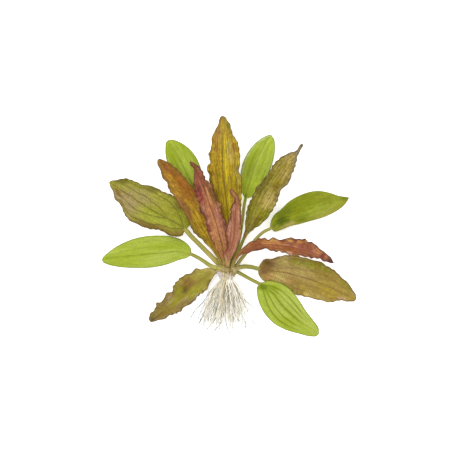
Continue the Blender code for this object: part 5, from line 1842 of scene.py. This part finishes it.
def make_main_root(index, rng, skins):
    """One main root with the side roots that grow from it."""
    line = main_root_line(index)
    height = line[0, 2] - CROWN_Z
    skin = draw_skin(rng, next(shares for lowest, shares in MAIN_SKINS if height > lowest))
    thick = ROOT_RADIUS * rng.uniform(*MAIN_SWELL)
    sideways = abs(root_start(index)[0]) / ROOT_BUNDLE
    thin = ROOT_TIP_RADIUS * (MAIN_TIP_SWELL - MAIN_TIP_SIDE * sideways)
    name = f"strand_{index + 1:02d}"
    main = tube_mesh(name, [strand(line, thick, thin, skin)], 2, skins)
    sides = side_strands([line], SIDE_ROOTS // ROOT_COUNT // 2, MAIN_SIDE_RADII, rng)
    join(main, [tube_mesh(name + "_side", sides, 0, skins)])
    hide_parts(f"root_{index + 1:02d}")
    return main


def lock_root_line(lock, rng):
    """A thin root that keeps to a main one, and whether it is an ochre one."""
    across, height = root_start(lock)
    across += LOCK_START * rng.normal()
    ochre = any(abs(across - place) < reach for place, reach in OCHRE_LOCKS)
    height += LOCK_START * rng.normal() - (OCHRE_SINK if ochre else LOCK_SINK)
    line = thin_root_line(across, height, rng, LOCK_SHORTEST)
    drift = LOCK_DRIFT * math.sin(LOCK_DRIFT_STEP * lock)
    line[:, 0] += drift * np.linspace(0.0, 1.0, len(line)) ** 1.5
    return line, ochre


def make_thin_roots(rng, skins):
    """The thinner roots between the main ones, with their side roots and the single ones."""
    strands = []
    for _ in range(THIN_ROOTS):
        line, ochre = lock_root_line(LOCKS[int(rng.integers(len(LOCKS)))], rng)
        thick = rng.uniform(*LOCK_THICK)
        strands.append(strand(line, thick, THIN_TIP, draw_skin(rng, OCHRE_SKINS if ochre else LOCK_SKINS)))
    for _ in range(LOW_ROOTS):
        across = rng.uniform(*LOW_ACROSS) * ROOT_BUNDLE
        height = rng.uniform(*LOW_HEIGHTS) * ROOT_BUNDLE
        line = thin_root_line(across, height, rng, LOW_SHORTEST)
        strands.append(strand(line, *LOW_RADII, draw_skin(rng, LOW_SKINS)))
    for _ in range(STRAY_ROOTS):
        strands.append(strand(stray_root_line(rng), *STRAY_RADII, STRAY_SKIN))
    for _ in range(COLLAR_ROOTS):
        line = collar_root_line(rng.uniform(*COLLAR_ACROSS) * ROOT_BUNDLE, rng)
        thick = rng.uniform(*COLLAR_THICK)
        strands.append(strand(line, thick, THIN_TIP, draw_skin(rng, COLLAR_SKINS)))
    for places in LONE_ROOTS:
        strands.append(strand(lone_root_line(places), *LONE_RADII, STRAY_SKIN))
    lines = [line for line, _, _ in strands]
    strands += side_strands(lines, SIDE_ROOTS // 2, THIN_SIDE_RADII, rng)
    return tube_mesh("thin_roots", strands, 1, skins)


# ---------------------------------------------------------------- rootstock: making it


def make_scale(number, rng):
    """One thin sheath scale that hugs the rootstock below a leaf, with a ragged free end."""
    reach = rng.uniform(*SCALE_REACH)
    half_angle = rng.uniform(*SCALE_HALF_ANGLE)
    along = np.linspace(0.0, 1.0, SCALE_ROWS)[:, None]
    across = np.linspace(-1.0, 1.0, SCALE_COLUMNS)[None, :]
    ragged = 0.12 * np.sin(5 * across + number) + 0.07 * np.sin(13 * across + 2 * number)
    y = SCALE_TOP - reach * along * (1 - 0.35 * across**2 + ragged)
    gap = SCALE_GAP + SCALE_LAYER * (number % 3) + SCALE_LIFT * along**2
    uneven = 0.12 * np.sin(9 * across + 4 * along + number)
    radius = np.maximum(crown_radius(y), SCALE_TOP_RADIUS * (1 - along)) + gap + uneven
    turn = number * GOLDEN_ANGLE + half_angle * across * (1 - SCALE_NARROWER * along**2)
    obj, _ = sheet("scale", crown_point(turn, y, radius))
    wall = obj.modifiers.new("wall", "SOLIDIFY")
    wall.thickness = SCALE_WALL * MM
    wall.offset = 0.0
    bpy.ops.object.modifier_apply(modifier=wall.name)
    bpy.ops.object.shade_smooth()
    return obj


def make_rootstock(rng):
    """The short stem, ribbed by the leaf bases and with a pale collar that the roots leave."""
    profile = smooth_line(CROWN_PROFILE, np.linspace(0.0, 1.0, CROWN_ROWS))
    turn = np.linspace(WHOLE_TURN, 0.0, CROWN_COLUMNS)  # this way round, the faces point outwards
    y, radius = profile[:, :1], np.maximum(profile[:, 1:], 0.0)
    ribs = RIB_DEPTH * np.cos(RIBS * turn + 2 * np.sin(turn)) * rise(y, *RIBS_BEGIN) * rise(y, *RIBS_END)
    rows = np.sin(17 * turn + 3 * np.sin(2 * y)) * np.sin(2.4 * y + np.sin(3 * turn))
    knobs = KNOB_DEPTH * rows * rise(y, *KNOBS_BEGIN)
    obj, _ = sheet("stem", crown_point(turn, y, radius * (1 + ribs + knobs)))
    close_skin(obj)
    join(obj, [make_scale(number, rng) for number in range(SCALES)])
    obj.data.materials.append(stem_material())
    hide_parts("rootstock")
    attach(obj, "root")


def make_roots(rng):
    """The main roots one by one, and the thin ones as one piece."""
    skins = [root_material(*skin) for skin in ROOT_SKINS]
    roots = [make_main_root(index, rng, skins) for index in range(ROOT_COUNT)]
    for root in (*roots, make_thin_roots(rng, skins)):
        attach(root, "root")


# ---------------------------------------------------------------- table, light and camera

TABLE_SIZE = 6.0
LAMPS = (  # name, place, size and power
    ("key", (-0.7, 0.6, 1.3), 1.2, 15.0),
    ("fill", (1.1, -0.5, 1.0), 1.4, 3.0),
)
CAMERA_HEIGHT = 2.2
CAMERA_X = -0.003
CAMERA_Y = 0.0003
PHOTO_WIDTH = 0.452  # what the photograph shows of the table, in metres
SENSOR = 36.0


def make_table():
    """A plain pale table top."""
    bpy.ops.object.select_all(action="DESELECT")
    bpy.ops.mesh.primitive_plane_add(size=TABLE_SIZE)
    table = bpy.context.object
    table.name = "table_top"
    table.data.materials.append(table_material())
    table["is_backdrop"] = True


def make_light():
    """Even white light from all round, with one large soft lamp above on the left and a weak one."""
    world = bpy.data.worlds.new("studio")
    world.use_nodes = True
    world.node_tree.nodes["Background"].inputs["Color"].default_value = (1.0, 1.0, 1.0, 1.0)
    world.node_tree.nodes["Background"].inputs["Strength"].default_value = 1.0
    bpy.context.scene.world = world
    for name, place, size, power in LAMPS:
        lamp = bpy.data.lights.new(name, "AREA")
        lamp.shape = "DISK"
        lamp.size = size
        lamp.energy = power
        obj = bpy.data.objects.new(name, lamp)
        obj.location = place
        obj.rotation_euler = Vector(place).to_track_quat("Z", "Y").to_euler()
        bpy.context.collection.objects.link(obj)


def make_camera():
    """Looks straight down, with the top of the photograph towards +Y."""
    camera = bpy.data.cameras.new("camera")
    camera.sensor_width = SENSOR
    camera.lens = SENSOR * CAMERA_HEIGHT / PHOTO_WIDTH
    obj = bpy.data.objects.new("camera", camera)
    obj.location = (CAMERA_X, CAMERA_Y, CAMERA_HEIGHT)
    bpy.context.collection.objects.link(obj)
    bpy.context.scene.camera = obj


# ---------------------------------------------------------------- making it

for number, plan in enumerate(LEAVES, start=1):
    plan.number = number
    plan.look = FINISHES[plan.name]
    make_leaf(plan)

rng = np.random.default_rng(SEED)
make_rootstock(rng)
make_roots(rng)

make_table()
make_light()
make_camera()
bpy.context.scene.view_settings.view_transform = "Standard"

boxes = {"cad": cad_box, "visual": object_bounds()}
